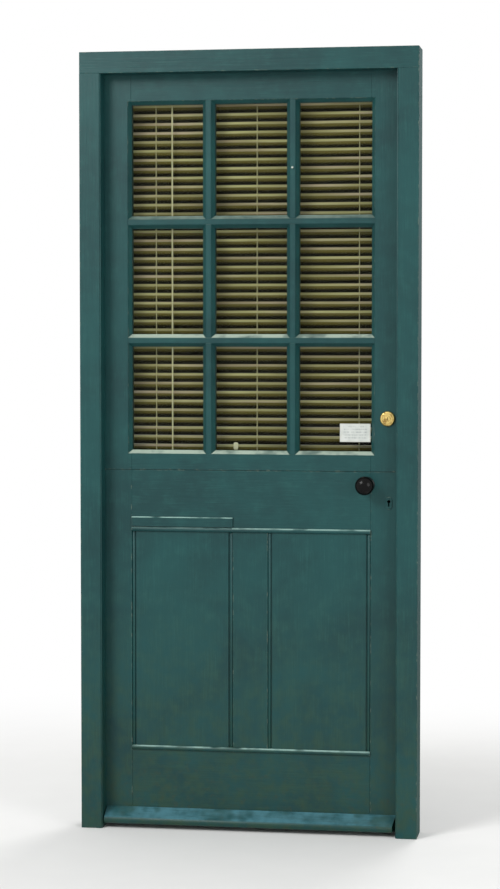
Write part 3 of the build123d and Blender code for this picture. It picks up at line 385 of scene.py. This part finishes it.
def ironFinish(name, black, worn, rough, specular=0.12):
    # colour: black enamel with greyer handling marks; height: orange peel and casting grain
    look = ironLook
    g = Graph(name)
    peel = g.noise(look["peel"], detail=2.0)
    marks = g.noise(look["marks"], detail=5.0, rough=0.7)
    rubbed = marks.ramp(*look["rubRamp"])
    colour = g.mixed(rubbed * look["rubShare"], black, worn)
    shine = summed(rough, look["rougher"], rubbed=rubbed, peel=peel)
    height = peel.blended(marks, look["reliefMix"])
    return g.surface(colour, shine, height, look["bump"], Specular_IOR_Level=specular)


steelLook = {
    "clouds": 60.0, "cloudRamp": (0.35, 0.7), "lines": (4200, 160), "reliefMix": 0.6,
    "roughness": 0.38, "rougher": {"clouds": 0.2}, "bump": 0.00012,
}


def steelFinish(name, bright, dull):
    # colour: zinc grey with darker clouds; height: fine rolling lines
    look = steelLook
    g = Graph(name)
    clouds = g.noise(look["clouds"], detail=5.0, rough=0.65)
    lines = g.streaks(look["lines"], 2, detail=2.0)
    colour = g.mixed(clouds.ramp(*look["cloudRamp"]), bright, dull)
    shine = summed(look["roughness"], look["rougher"], clouds=clouds)
    height = lines.blended(clouds, look["reliefMix"])
    return g.surface(colour, shine, height, look["bump"], Metallic=1.0)


enamelLook = {
    "streaks": (420, 9), "clouds": 14.0, "ageMix": 0.5, "ageRamp": (0.36, 0.66), "reliefMix": 0.6,
    "upRamp": (0.2, 0.95), "dustShare": 0.4, "rougher": {"age": 0.15, "dust": 0.2}, "bump": 0.00012,
}


def enamelFinish(name, clean, aged, rough):
    # colour: baked enamel, yellowed in streaks along x; height: faint ripples; duller where it looks up
    look = enamelLook
    g = Graph(name)
    streaks = g.streaks(look["streaks"], 0, detail=4.0, rough=0.6)
    clouds = g.noise(look["clouds"], detail=4.0)
    dust = g.upward().ramp(*look["upRamp"]) * look["dustShare"]
    age = streaks.blended(clouds, look["ageMix"]).ramp(*look["ageRamp"])
    colour = g.mixed(age, clean, aged)
    shine = summed(rough, look["rougher"], age=age, dust=dust)
    height = streaks.blended(clouds, look["reliefMix"])
    return g.surface(colour, shine, height, look["bump"])


paperLook = {
    "clean": screenColour(198, 202, 197), "cloudy": screenColour(184, 189, 184),
    "yellowed": screenColour(176, 174, 156), "faded": screenColour(120, 128, 132),
    "rowPitch": 0.0075, "rowHalf": 0.24, "rowSoft": 0.05, "marks": (420, 1, 60), "markRamp": (0.46, 0.56),
    "sideMargin": 0.009, "footMargin": 0.008, "headMargin": 0.006, "marginSoft": 0.0015, "markShare": 0.6,
    "fibres": 900.0, "fibreRamp": (0.3, 0.7), "clouds": 40.0, "cloudRamp": (0.35, 0.7),
    "rimWidth": 0.006, "rimShare": 0.6,
    "roughness": 0.7, "rougher": {"fibres": 0.2}, "bump": 0.00015,
}


def paperFinish(name):
    # colour: off-white with faint clouds, rows of faded unreadable marks and a yellowed rim; height:
    # fibres; row is the distance from a row's middle in rows, and marks show only near it, inside the
    # margins
    look = paperLook
    g = Graph(name)
    low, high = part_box("window_card")
    x, z = g.axes()[::2]
    row = abs(((z - low.z) / look["rowPitch"]).remainder() - 0.5)
    marks = g.noise(1.0, g.place(look["marks"]), detail=3.0, rough=0.7).ramp(*look["markRamp"])
    sides = (x - low.x - look["sideMargin"]).least(high.x - look["sideMargin"] - x)
    ends = (z - low.z - look["footMargin"]).least(high.z - look["headMargin"] - z)
    marks = marks * (look["rowHalf"] - row).ramp(0.0, look["rowSoft"])
    marks = marks * sides.least(ends).ramp(0.0, look["marginSoft"])
    fibres = g.noise(look["fibres"], detail=4.0, rough=0.7)
    clouds = g.noise(look["clouds"], detail=3.0)
    rim = (look["rimWidth"] - arrisDistance(g, low, high)).ramp(0.0, look["rimWidth"])
    rim = rim * fibres.ramp(*look["fibreRamp"])
    colour = g.mixed(clouds.ramp(*look["cloudRamp"]), look["clean"], look["cloudy"])
    colour = g.mixed(rim * look["rimShare"], colour, look["yellowed"])
    colour = g.mixed(marks * look["markShare"], colour, look["faded"])
    shine = summed(look["roughness"], look["rougher"], fibres=fibres)
    return g.surface(colour, shine, fibres, look["bump"])


glassLook = {
    "tint": (0.89, 0.9, 0.85, 1.0),
    "bright": screenColour(232, 236, 232), "dusty": screenColour(206, 210, 198),
    "film": 7.0, "filmRamp": (0.4, 0.75), "runs": (160, 7), "runRamp": (0.52, 0.75),
    "roughness": 0.03, "rougher": {"film": 0.12}, "angleBlend": 0.22,
    "gloss": 1.05, "glossLeast": 0.0125, "share": {"film": 0.003, "runs": 0.004},
}


def glassFinish(name):
    # clear sheet: see-through, with a reflection that grows with the angle and a film of dust in
    # patches and upright runs
    look = glassLook
    g = Graph(name)
    film = g.noise(look["film"], detail=5.0, rough=0.7).ramp(*look["filmRamp"])
    runs = g.streaks(look["runs"], 2, detail=3.0).ramp(*look["runRamp"])
    clear = g.add("ShaderNodeBsdfTransparent", {}, {"Color": look["tint"]})
    values = {"Base Color": g.mixed(film, look["bright"], look["dusty"]),
              "Roughness": summed(look["roughness"], look["rougher"], film=film), "Metallic": 1.0}
    sheet = g.add("ShaderNodeBsdfPrincipled", {}, values)
    gloss = g.add("ShaderNodeLayerWeight", {}, {"Blend": look["angleBlend"]}, output=0)
    share = summed(gloss * look["gloss"] - look["glossLeast"], look["share"], film=film, runs=runs)
    mixed = g.add("ShaderNodeMixShader", {}, {0: share.kept(), 1: clear, 2: sheet})
    g.add("ShaderNodeOutputMaterial", {}, {"Surface": mixed})
    return g.owner


plasticLook = {
    "pale": screenColour(226, 223, 196), "yellowed": screenColour(190, 185, 150),
    "streaks": (700, 30), "streakRamp": (0.3, 0.7), "roughness": 0.14, "rougher": {"streaks": 0.12},
    "refraction": 1.5, "coat": 0.4, "bump": 0.0001,
}


def wandFinish(name):
    # yellowed plastic with faint upright streaks under a glossy skin
    look = plasticLook
    g = Graph(name)
    streaks = g.streaks(look["streaks"], 2, detail=3.0)
    colour = g.mixed(streaks.ramp(*look["streakRamp"]), look["pale"], look["yellowed"])
    shine = summed(look["roughness"], look["rougher"], streaks=streaks)
    return g.surface(colour, shine, streaks, look["bump"], IOR=look["refraction"],
                     Coat_Weight=look["coat"])


braidLook = {
    "shade": screenColour(158, 152, 118), "strand": screenColour(232, 227, 196),
    # strands across and along the cord, in radians per metre
    "across": 5200.0, "along": 2600.0, "strandRamp": (0.2, 0.95),
    "roughness": 0.75, "rougher": {"weave": 0.1}, "bump": 0.0003,
}


def braidFinish(name):
    # colour and height: two sets of slanting strands, (1 + sin(across x + along z)) / 2 and the same
    # with along turned round, the higher of the two
    look = braidLook
    g = Graph(name)
    x, z = g.axes()[::2]
    first = ((x * look["across"] + z * look["along"]).sine() + 1.0) * 0.5
    second = ((x * look["across"] - z * look["along"]).sine() + 1.0) * 0.5
    weave = first.most(second)
    colour = g.mixed(weave.ramp(*look["strandRamp"]), look["shade"], look["strand"])
    shine = summed(look["roughness"], look["rougher"], weave=weave)
    return g.surface(colour, shine, weave, look["bump"])


ringLow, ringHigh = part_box("nightlatch_ring")
ringMiddle = ((ringLow.x + ringHigh.x) / 2, (ringLow.z + ringHigh.z) / 2)
finishes = {
    "brass": brassFinish("brass-worn", screenColour(214, 190, 118), screenColour(122, 88, 44),
                         middle=ringMiddle),
    "brassDull": brassFinish("brass-dull", screenColour(176, 152, 92), screenColour(96, 74, 42),
                             rough=0.42),
    "iron": ironFinish("enamel-black", screenColour(9, 9, 9), screenColour(26, 26, 24), rough=0.1),
    "ironRough": ironFinish("iron-japanned", screenColour(20, 21, 20), screenColour(58, 56, 50),
                            rough=0.42),
    "steel": steelFinish("steel-zinc", screenColour(168, 170, 168), screenColour(112, 113, 108)),
    "glass": glassFinish("glass-clear"),
    "card": paperFinish("paper-card"),
    "rail": enamelFinish("enamel-headrail", screenColour(176, 173, 146), screenColour(150, 146, 116),
                         rough=0.36),
    "case": ironFinish("enamel-bronze", screenColour(92, 76, 46), screenColour(122, 104, 68),
                       rough=0.32, specular=0.4),
    "white": enamelFinish("enamel-white", screenColour(186, 194, 186), screenColour(150, 158, 146),
                          rough=0.4),
    "wand": wandFinish("plastic-wand"),
    "braid": braidFinish("cord-braided"),
}
wears = {
    "brass": ["nightlatch_ring", "nightlatch_cylinder", "nightlatch_plug"],
    "brassDull": ["nightlatch_bolt", "nightlatch_turn", "nightlatch_snib", "rim_latch_bolt",
                  "rim_dead_bolt"],
    "iron": ["outer_knob", "inner_knob", "knob_rose"],
    "ironRough": ["rim_lock_case", "rim_lock_keep", "knob_spindle", "tower_bolt_plate", "tower_bolt_rod",
                  "tower_bolt_keep"],
    "steel": ["hinge_plates_frame", "hinge_plates_upper", "hinge_plates_lower", "hinge_pins",
              "frame_screws", "upper_screws", "lower_screws"],
    "glass": ["panes_low_row", "panes_middle_row", "panes_high_row"],
    "card": ["window_card"],
    "rail": ["blind_headrail", "blind_bottom_rail", "blind_brackets"],
    "case": ["nightlatch_case", "nightlatch_keep"],
    "white": ["bar_pin"],
    "wand": ["blind_wand"],
    "braid": ["blind_ladders"],
}
for finish, dressed in wears.items():
    for node in dressed:
        dress(node, finishes[finish])
dress("keyhole_plate", paintedTimber("paint-keyhole-plate", upright, *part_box("keyhole_plate"), dusty=0.9))
print("hardware finished")


# New pieces

def sweptMesh(name, points):
    # points [copies, rings, around]: each copy is a tube of rings, closed round, capped at both ends
    copies, rings, around = points.shape[:3]
    along = np.arange(rings - 1)[:, None] * around
    this = np.arange(around)[None, :]
    following = (this + 1) % around
    corners = [along + this, along + following, along + around + following, along + around + this]
    quads = np.stack(corners, 2)
    starts = (np.arange(copies) * rings * around)[:, None, None]
    quads = (starts + quads.reshape(1, -1, 4)).reshape(-1, 4)
    first = (starts + np.arange(around)[None, None, ::-1]).reshape(copies, around)
    last = (starts + (rings - 1) * around + np.arange(around)[None, None, :]).reshape(copies, around)
    mesh = bpy.data.meshes.new(name)
    mesh.from_pydata(points.reshape(-1, 3).tolist(), [], quads.tolist() + first.tolist() + last.tolist())
    return mesh


def joinedMesh(name, parts):
    # several swept meshes as one
    solid = bmesh.new()
    for points in parts:
        mesh = sweptMesh(name, points)
        solid.from_mesh(mesh)
        bpy.data.meshes.remove(mesh)
    mesh = bpy.data.meshes.new(name)
    solid.to_mesh(mesh)
    solid.free()
    return mesh


def addPiece(name, mesh, body, finish, stoodFor=(), sharp=40):
    # gives a finished mesh its normals, shading, finish and body; edges over the sharp angle stay crisp
    solid = bmesh.new()
    solid.from_mesh(mesh)
    bmesh.ops.recalc_face_normals(solid, faces=solid.faces)
    solid.to_mesh(mesh)
    solid.free()
    mesh.polygons.foreach_set("use_smooth", np.ones(len(mesh.polygons), bool))
    mesh.set_sharp_from_angle(angle=math.radians(sharp))
    mesh.materials.append(finish)
    piece = bpy.data.objects.new(name, mesh)
    bpy.context.scene.collection.objects.link(piece)
    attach(piece, body)
    if stoodFor:
        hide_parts(*stoodFor)


# Blind

blindLook = {
    "count": 39, "pitch": 0.0241, "width": 0.0254, "crown": 0.0016, "thickness": 0.0007,
    "tilt": 71.0, "wobble": 1.0, "sag": 0.0003, "seed": 7, "acrossPoints": 7, "stations": 5,
    "cream": screenColour(212, 207, 166), "rose": screenColour(212, 194, 182),
    # painted shade on the faces that look down: brown, and dark in the fold
    "brown": screenColour(106, 98, 50), "dark": screenColour(10, 9, 3),
    "streaks": (420, 9), "clouds": 9.0, "apartCells": 4.0, "apartRamp": (0.32, 0.66), "apartShare": 0.5,
    "roseCells": 2.5, "roseShift": (0.4, 0.0, 0.3), "roseRamp": (0.42, 0.66),
    # the cream strip along the outer edge is a painted highlight
    "highlightEnd": 0.34, "highlightSoft": 0.12, "highlightWander": 0.1,
    "foldShadeStart": 0.42, "foldShadeSoft": 0.3, "foldShadeWander": 0.16, "roomRamp": (-0.1, 0.1),
    "roughness": 0.36, "rougher": {"streaks": 0.15}, "bump": 0.0001, "specular": 0.08,
}
slatLow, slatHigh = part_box("blind_slats")
slatY = (slatLow.y + slatHigh.y) / 2
chance = np.random.default_rng(blindLook["seed"])
# slats from the top down, spread evenly about the middle, each a little off the tilt
slatZ = slatHigh.z - 0.5 * (slatHigh.z - slatLow.z) + blindLook["pitch"] * (
    (blindLook["count"] - 1) / 2 - np.arange(blindLook["count"]))
slatTilt = np.radians(blindLook["tilt"] + blindLook["wobble"] * chance.uniform(-1, 1, blindLook["count"]))


def slatFinish(name):
    # by place across the slat, on faces that look down: a cream strip along the outer edge that is a
    # painted highlight, painted shade in brown below it, darkest in the fold; no two slats get the
    # highlight alike, and some are rosier; faces that look up, on the room side, are cream all over
    look = blindLook
    g = Graph(name)
    across = g.add("ShaderNodeAttribute", {"attribute_name": "across"}, output=2)
    streaks = g.streaks(look["streaks"], 0, detail=4.0, rough=0.6)
    clouds = g.noise(look["clouds"], detail=1.0)
    perSlat = 1 / look["pitch"]
    apart = g.noise(1.0, g.place((look["apartCells"], 1.0, perSlat)), detail=1.0).ramp(*look["apartRamp"])
    rosy = g.noise(1.0, g.place((look["roseCells"], 1.0, perSlat), look["roseShift"]), detail=1.0)
    # painted highlight: a cream strip along the outer edge
    faded = look["highlightEnd"] - across + (streaks - 0.5) * look["highlightWander"]
    faded = faded.ramp(0.0, look["highlightSoft"]) * (1 - look["apartShare"] + apart * look["apartShare"])
    # painted shade: brown below the strip, going dark in the fold
    paintedFoldShade = across - look["foldShadeStart"] + (clouds - 0.5) * look["foldShadeWander"]
    colour = g.mixed(paintedFoldShade.ramp(0.0, look["foldShadeSoft"]), look["brown"], look["dark"])
    pale = g.mixed(rosy.ramp(*look["roseRamp"]), look["cream"], look["rose"])
    colour = g.mixed(faded.kept(), colour, pale)
    # faces that look up keep the slat's own cream, without the painted shade
    colour = g.mixed(g.upward().ramp(*look["roomRamp"]), colour, look["cream"])
    shine = summed(look["roughness"], look["rougher"], streaks=streaks)
    return g.surface(colour, shine, streaks, look["bump"], Specular_IOR_Level=look["specular"])


def slatPoints():
    # across w from -W/2 to W/2 and along x: hollow h = crown (1 - (2w/W)^2), both faces t/2 apart,
    # turned by the tilt; between ladders each slat sags as the sine of its place
    look = blindLook
    w = np.linspace(-0.5, 0.5, look["acrossPoints"])
    ring = np.concatenate([w, w[::-1]]) * look["width"]
    side = np.concatenate([np.ones_like(w), -np.ones_like(w)]) * look["thickness"] / 2
    hollow = look["crown"] * (1 - (2 * ring / look["width"]) ** 2) + side - look["crown"] / 2
    x = np.linspace(slatLow.x, slatHigh.x, look["stations"])
    sag = -look["sag"] * np.abs(np.sin(np.linspace(0, 2 * np.pi, look["stations"])))
    cosine, sine = np.cos(slatTilt)[:, None, None], np.sin(slatTilt)[:, None, None]
    y = slatY + ring[None, None, :] * cosine + hollow[None, None, :] * sine
    z = slatZ[:, None, None] - ring[None, None, :] * sine + hollow[None, None, :] * cosine
    z = z + sag[None, :, None]
    shape = (look["count"], look["stations"], len(ring))
    places = np.broadcast_to(np.concatenate([w, w[::-1]]) + 0.5, shape)
    x = np.broadcast_to(x[None, :, None], shape)
    return np.stack([x, np.broadcast_to(y, shape), z], 3), places


def tubePoints(path, radius, around):
    # rings round a path of points [copies, rings, 3] in the plane across its run; one radius per ring
    run = np.gradient(path, axis=1)
    run /= np.linalg.norm(run, axis=2, keepdims=True)
    beside = np.cross(run, [1.0, 0.0, 0.0])
    beside /= np.linalg.norm(beside, axis=2, keepdims=True)
    over = np.cross(run, beside)
    angle = np.linspace(0, 2 * np.pi, around, endpoint=False)
    ring = beside[:, :, None] * np.cos(angle)[:, None] + over[:, :, None] * np.sin(angle)[:, None]
    return path[:, :, None] + ring * np.broadcast_to(radius, path.shape[:2])[:, :, None, None]


points, places = slatPoints()
slatMesh = sweptMesh("blindSlatsShaped", points)
acrossData = slatMesh.attributes.new("across", "FLOAT", "POINT").data
acrossData.foreach_set("value", places.ravel().astype(np.float32))
addPiece("blindSlatsShaped", slatMesh, "upper_leaf", slatFinish("enamel-slats"),
         ["blind_slats"])

ladderLook = {
    "x": (-0.268, 0.009, 0.286), "radius": 0.0006, "sides": 6, "stepsPerSlat": 8,
    "knot": 0.0013, "knotHeight": 0.0012, "rungRadius": 0.00045, "rungSides": 5, "rungPoints": 7,
    "sharp": 80,
}


def ladderMesh():
    # six upright strings, of radius r + knot exp(-(dz / knotHeight)^2) by each slat edge, and a rung
    # under each slat of each ladder that follows its hollow
    look, slat = ladderLook, blindLook
    low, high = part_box("blind_ladders")
    half = (high.y - low.y) / 2 - look["radius"] - look["knot"]
    z = np.linspace(low.z, high.z, slat["count"] * look["stepsPerSlat"])
    strings, radii = [], []
    for side in (-1, 1):
        edge = slatZ + side * -0.5 * slat["width"] * np.sin(slatTilt)
        near = np.exp(-((z[:, None] - edge[None, :]) / look["knotHeight"]) ** 2).max(1)
        for x in look["x"]:
            y = np.full_like(z, slatY + side * half)
            strings.append(np.stack([np.full_like(z, x), y, z], 1))
            radii.append(look["radius"] + look["knot"] * near)
    strings = tubePoints(np.array(strings), np.array(radii), look["sides"])
    w = np.linspace(-0.5, 0.5, look["rungPoints"])
    reach = 2 * half / np.cos(slatTilt)
    under = slat["thickness"] / 2 + look["rungRadius"]
    hollow = slat["crown"] * (1 - (2 * w) ** 2) - slat["crown"] / 2 - under
    across = np.minimum(reach, slat["width"])[:, None] * w[None, :]
    y = slatY + across * np.cos(slatTilt)[:, None] + hollow * np.sin(slatTilt)[:, None]
    z = slatZ[:, None] - across * np.sin(slatTilt)[:, None] + hollow * np.cos(slatTilt)[:, None]
    rungs = np.concatenate([np.stack([np.full_like(y, x), y, z], 2) for x in look["x"]])
    rungs = tubePoints(rungs, look["rungRadius"], look["rungSides"])
    return joinedMesh("blindLadderCords", (strings, rungs))


addPiece("blindLadderCords", ladderMesh(), "upper_leaf", finishes["braid"],
         ["blind_ladders"], ladderLook["sharp"])

wandLook = {
    "sides": 6, "tip": 0.001, "bulb": 0.0025, "shaft": 0.0021, "neck": 0.0014, "overlap": 0.002,
    # shares of the height: where the rings are, and where each radius is reached
    "footRings": (0, 0.004, 0.01, 0.03, 0.05), "shaftRings": (0.06, 0.975, 12),
    "headRings": (0.985, 0.99, 1), "reached": (0, 0.006, 0.03, 0.055, 0.98, 0.99, 1),
    "radii": ("tip", "bulb", "bulb", "shaft", "shaft", "neck", "neck"), "sharp": 30,
}


def wandMesh(name, foot, top):
    # hexagonal rod: radius over height is a thin neck at the hook, an even shaft and a bulb at the foot
    look = wandLook
    low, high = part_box("blind_wand")
    share = np.concatenate([look["footRings"], np.linspace(*look["shaftRings"]), look["headRings"]])
    radius = np.interp(share, look["reached"], [look[part] for part in look["radii"]])
    z = foot + share * (top - foot)
    x, y = (low.x + high.x) / 2, (low.y + high.y) / 2
    path = np.stack([np.full_like(z, x), np.full_like(z, y), z], 1)[None]
    return sweptMesh(name, tubePoints(path, radius[None], look["sides"]))


wandFoot, wandTop = (corner.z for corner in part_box("blind_wand"))
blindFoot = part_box("blind_bottom_rail")[0].z
addPiece("blindWandHexagonal", wandMesh("blindWandHexagonal", wandFoot, wandTop), "upper_leaf",
         finishes["wand"], ["blind_wand"], wandLook["sharp"])
addPiece("blindWandTail", wandMesh("blindWandTail", blindFoot, wandFoot + wandLook["overlap"]),
         "upper_leaf", finishes["wand"], sharp=wandLook["sharp"])

clipLook = {
    "x": -0.049, "width": 0.013, "height": 0.02, "foot": 1.0225, "depth": 0.002, "inFront": 0.0008,
    "square": 0.5, "around": 24,
    # shares of the depth where the rings are, and of the size that each ring has
    "rings": (0, 0.12, 0.3, 0.7, 0.88, 1), "drawnIn": (0.82, 0.95, 1.0, 1.0, 0.95, 0.82),
    "clean": screenColour(238, 236, 220), "aged": screenColour(208, 205, 184), "roughness": 0.45,
}


def clipMesh():
    # tag with round corners: x = w/2 |cos a|^s, z = h/2 |sin a|^s with their signs, drawn in at front
    # and back
    look = clipLook
    angle = np.linspace(0, 2 * np.pi, look["around"], endpoint=False)
    cosine, sine = np.cos(angle), np.sin(angle)
    drawnIn = np.array(look["drawnIn"])[:, None]
    x = look["x"] + np.sign(cosine) * np.abs(cosine) ** look["square"] * look["width"] / 2 * drawnIn
    z = np.sign(sine) * np.abs(sine) ** look["square"] * look["height"] / 2 * drawnIn
    z = z + look["foot"] + look["height"] / 2
    y = slatLow.y + look["inFront"] + (np.array(look["rings"])[:, None] - 0.5) * look["depth"]
    return sweptMesh("blindEdgeClip", np.stack([x, np.broadcast_to(y, x.shape), z], 2)[None])


clipFinish = enamelFinish("plastic-clip", clipLook["clean"], clipLook["aged"], clipLook["roughness"])
addPiece("blindEdgeClip", clipMesh(), "upper_leaf", clipFinish)
print("blind shaped")


# Screws and pins of the locks

screwLook = {
    "radius": 0.0034, "keepRadius": 0.0028, "pinRadius": 0.0014,
    "height": 0.0009, "rim": 0.0003, "dome": 0.4, "slotDepth": 0.0007, "slotHalf": 0.15, "slotEnd": 0.97,
    # grid lines across the slot, number along it and how they gather toward the rim
    "columns": (-1, -0.86, -0.6, -0.34, -0.19, -0.12, 0.12, 0.19, 0.34, 0.6, 0.86, 1),
    "rows": 9, "gather": 0.8, "seed": 3,
    "caseInset": 0.010, "rimCaseInset": 0.009, "keepInset": 0.008, "plateInset": 0.0036,
}


def screwHeads(name, places, facing, radius=screwLook["radius"]):
    # disc grid x = u sqrt(1 - v^2/2), z = v sqrt(1 - u^2/2); height h (1 - r^2)^dome over an upright
    # rim, with a slot sunk along v; a flat back closes it; facing is +1 into the house, -1 out
    look = screwLook
    u = np.array(look["columns"])
    v = np.linspace(-1, 1, look["rows"])
    v = np.sign(v) * np.abs(v) ** look["gather"]
    across, up = np.meshgrid(u, v, indexing="ij")
    x, z = across * np.sqrt(1 - up ** 2 / 2), up * np.sqrt(1 - across ** 2 / 2)
    rise = look["height"] * np.clip(1 - x ** 2 - z ** 2, 0, 1) ** look["dome"]
    inSlot = (np.abs(across) < look["slotHalf"]) & (np.abs(up) < look["slotEnd"])
    rise = look["rim"] + np.maximum(rise - inSlot * look["slotDepth"], 0)
    turns = np.random.default_rng(look["seed"]).uniform(0, np.pi, len(places))
    columns, rows = across.shape
    index = np.arange(columns * rows).reshape(columns, rows)
    quads = np.stack([index[:-1, :-1], index[1:, :-1], index[1:, 1:], index[:-1, 1:]], 2).reshape(-1, 4)
    rim = np.concatenate([index[:, 0], index[-1, 1:], index[-2::-1, -1], index[0, -2:0:-1]])
    foot = columns * rows + np.arange(len(rim))
    sides = np.stack([rim, np.roll(rim, -1), np.roll(foot, -1), foot], 1)
    verts, faces = [], []
    for number, (place, turn) in enumerate(zip(places, turns)):
        cosine, sine = math.cos(turn), math.sin(turn)
        heads = np.stack([place[0] + radius * (x * cosine - z * sine), place[1] + facing * rise,
                          place[2] + radius * (x * sine + z * cosine)], 2).reshape(-1, 3)
        back = heads[rim] * [1, 0, 1] + [0, place[1], 0]
        start = number * (len(heads) + len(back))
        verts += [heads, back]
        faces += (quads + start).tolist() + (sides + start).tolist() + [(foot + start).tolist()]
    mesh = bpy.data.meshes.new(name)
    mesh.from_pydata(np.concatenate(verts).tolist(), [], faces)
    return mesh


def placesOn(node, inset, facing, pattern):
    # places on a node's front face: (-1..1, -1..1) from its middle, held in by the inset
    low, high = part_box(node)
    y = high.y if facing > 0 else low.y
    x, z = (low.x + high.x) / 2, (low.z + high.z) / 2
    halfWidth, halfHeight = (high.x - low.x) / 2 - inset, (high.z - low.z) / 2 - inset
    return [(x + a * halfWidth, y, z + b * halfHeight) for a, b in pattern]


fourCorners = ((-1, -1), (1, -1), (-1, 1), (1, 1))
upperPlaces = placesOn("nightlatch_case", screwLook["caseInset"], 1, ((1, -1), (1, 1)))
addPiece("upperLockScrews", screwHeads("upperLockScrews", upperPlaces, 1), "upper_leaf",
         finishes["brassDull"])
lowerPlaces = placesOn("rim_lock_case", screwLook["rimCaseInset"], 1, fourCorners)
addPiece("lowerLockScrews", screwHeads("lowerLockScrews", lowerPlaces, 1), "lower_leaf",
         finishes["steel"])
keepPlaces = []
for node in ("rim_lock_keep", "nightlatch_keep"):
    keepPlaces += placesOn(node, screwLook["keepInset"], 1, ((0.4, -1), (0.4, 1)))
addPiece("keepScrews", screwHeads("keepScrews", keepPlaces, 1, screwLook["keepRadius"]), "frame",
         finishes["steel"])
pinPlaces = placesOn("keyhole_plate", screwLook["plateInset"], -1, ((0, -1), (0, 1)))
addPiece("keyholePlatePins", screwHeads("keyholePlatePins", pinPlaces, -1, screwLook["pinRadius"]),
         "lower_leaf", nodes["keyhole_plate"].data.materials[0])
print("screws set")


# Levers seen through the keyhole

leverLook = {"count": 5, "thickness": 0.0022, "gap": 0.0005, "reach": 0.009, "rise": 0.009, "drop": 0.019}


def leverMesh():
    # flat plates one behind another in the depth of the case, each a ring of four corners
    look = leverLook
    low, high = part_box("rim_lock_case")
    plateLow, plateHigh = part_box("keyhole_plate")
    x = (plateLow.x + plateHigh.x) / 2
    middle = (low.y + high.y) / 2
    z = (plateLow.z + plateHigh.z) / 2
    step = look["thickness"] + look["gap"]
    front = middle + (np.arange(look["count"]) - look["count"] / 2) * step
    depth = np.stack([front, front + look["thickness"]], 1)
    corners = np.array([(-1, -look["drop"]), (1, -look["drop"]), (1, look["rise"]), (-1, look["rise"])])
    shape = (look["count"], 2, 4)
    xs = np.broadcast_to(x + corners[:, 0] * look["reach"], shape)
    zs = np.broadcast_to(z + corners[:, 1], shape)
    return sweptMesh("rimLockLevers", np.stack([xs, np.broadcast_to(depth[:, :, None], shape), zs], 3))


addPiece("rimLockLevers", leverMesh(), "lower_leaf", finishes["ironRough"])
print("levers set")


# Floor, light and camera

stageLook = {
    "floorHalf": 14.0, "floorDrop": 0.0005, "fadeStart": 0.9, "fadeEnd": 2.6, "grain": 6.0,
    "ground": (0.80, 0.80, 0.79, 1.0), "groundLight": (0.84, 0.84, 0.83, 1.0),
    "white": (1.0, 1.0, 1.0, 1.0), "worldLight": (0.62, 0.62, 0.62, 1.0),
    "key": {"at": (-2.6, -4.2, 3.9), "size": 2.2, "watts": 190.0},
    "fill": {"at": (3.4, -3.6, 1.9), "size": 2.6, "watts": 60.0},
    "back": {"at": (1.2, 4.4, 3.2), "size": 2.4, "watts": 110.0},
    "aim": (0.0, 0.0, 1.04), "camera": (1.02, -6.12, 1.34), "lens": 94.0, "sensor": 36.0,
}


def seenDirectly(graph):
    # 1 for rays from the camera, and for what metal and glass show
    rays = [graph.add("ShaderNodeLightPath", output=name)
            for name in ("Is Camera Ray", "Is Glossy Ray", "Is Transmission Ray")]
    return rays[0].most(rays[1]).most(rays[2])


def floorFinish():
    # pale ground near the object, fading with distance into the white background
    look = stageLook
    g = Graph("floor-pale")
    x, y = g.axes()[:2]
    distance = (x * x + y * y) ** 0.5
    colour = g.mixed(g.noise(look["grain"], detail=4.0), look["ground"], look["groundLight"])
    ground = g.add("ShaderNodeBsdfDiffuse", {}, {"Color": colour})
    white = g.add("ShaderNodeEmission", {}, {"Color": look["white"], "Strength": 1.0})
    share = distance.ramp(look["fadeStart"], look["fadeEnd"]) * seenDirectly(g)
    mixed = g.add("ShaderNodeMixShader", {}, {0: share, 1: ground, 2: white})
    g.add("ShaderNodeOutputMaterial", {}, {"Surface": mixed})
    return g.owner


def floorSheet():
    # flat square: x and y from -half to half, z just under the feet
    half, z = stageLook["floorHalf"], -stageLook["floorDrop"]
    corners = [(-half, -half, z), (half, -half, z), (half, half, z), (-half, half, z)]
    mesh = bpy.data.meshes.new("floor")
    mesh.from_pydata(corners, [], [(0, 1, 2, 3)])
    floor = bpy.data.objects.new("floor", mesh)
    mesh.materials.append(floorFinish())
    bpy.context.scene.collection.objects.link(floor)


def aimed(thing, at):
    # turns a lamp or camera so that it looks at a point
    thing.rotation_euler = (Vector(at) - thing.location).to_track_quat("-Z", "Y").to_euler()


def softLamp(name, look):
    lamp = bpy.data.lights.new(name, "AREA")
    lamp.shape = "DISK"
    lamp.size = look["size"]
    lamp.energy = look["watts"]
    holder = bpy.data.objects.new(name, lamp)
    holder.location = look["at"]
    bpy.context.scene.collection.objects.link(holder)
    aimed(holder, stageLook["aim"])


floorSheet()
for lampName in ("key", "fill", "back"):
    softLamp("lamp-" + lampName, stageLook[lampName])
world = bpy.data.worlds.new("studio")
bpy.context.scene.world = world
surround = Graph(world)
surroundColour = surround.mixed(seenDirectly(surround), stageLook["worldLight"], stageLook["white"])
surroundShader = surround.add("ShaderNodeBackground", {}, {"Color": surroundColour, "Strength": 1.0})
surround.add("ShaderNodeOutputWorld", {}, {"Surface": surroundShader})
bpy.context.scene.view_settings.view_transform = "Standard"

cameraData = bpy.data.cameras.new("camera")
cameraData.lens = stageLook["lens"]
cameraData.sensor_width = stageLook["sensor"]
camera = bpy.data.objects.new("camera", cameraData)
camera.location = stageLook["camera"]
bpy.context.scene.collection.objects.link(camera)
aimed(camera, stageLook["aim"])
bpy.context.scene.camera = camera
print("stage lit")
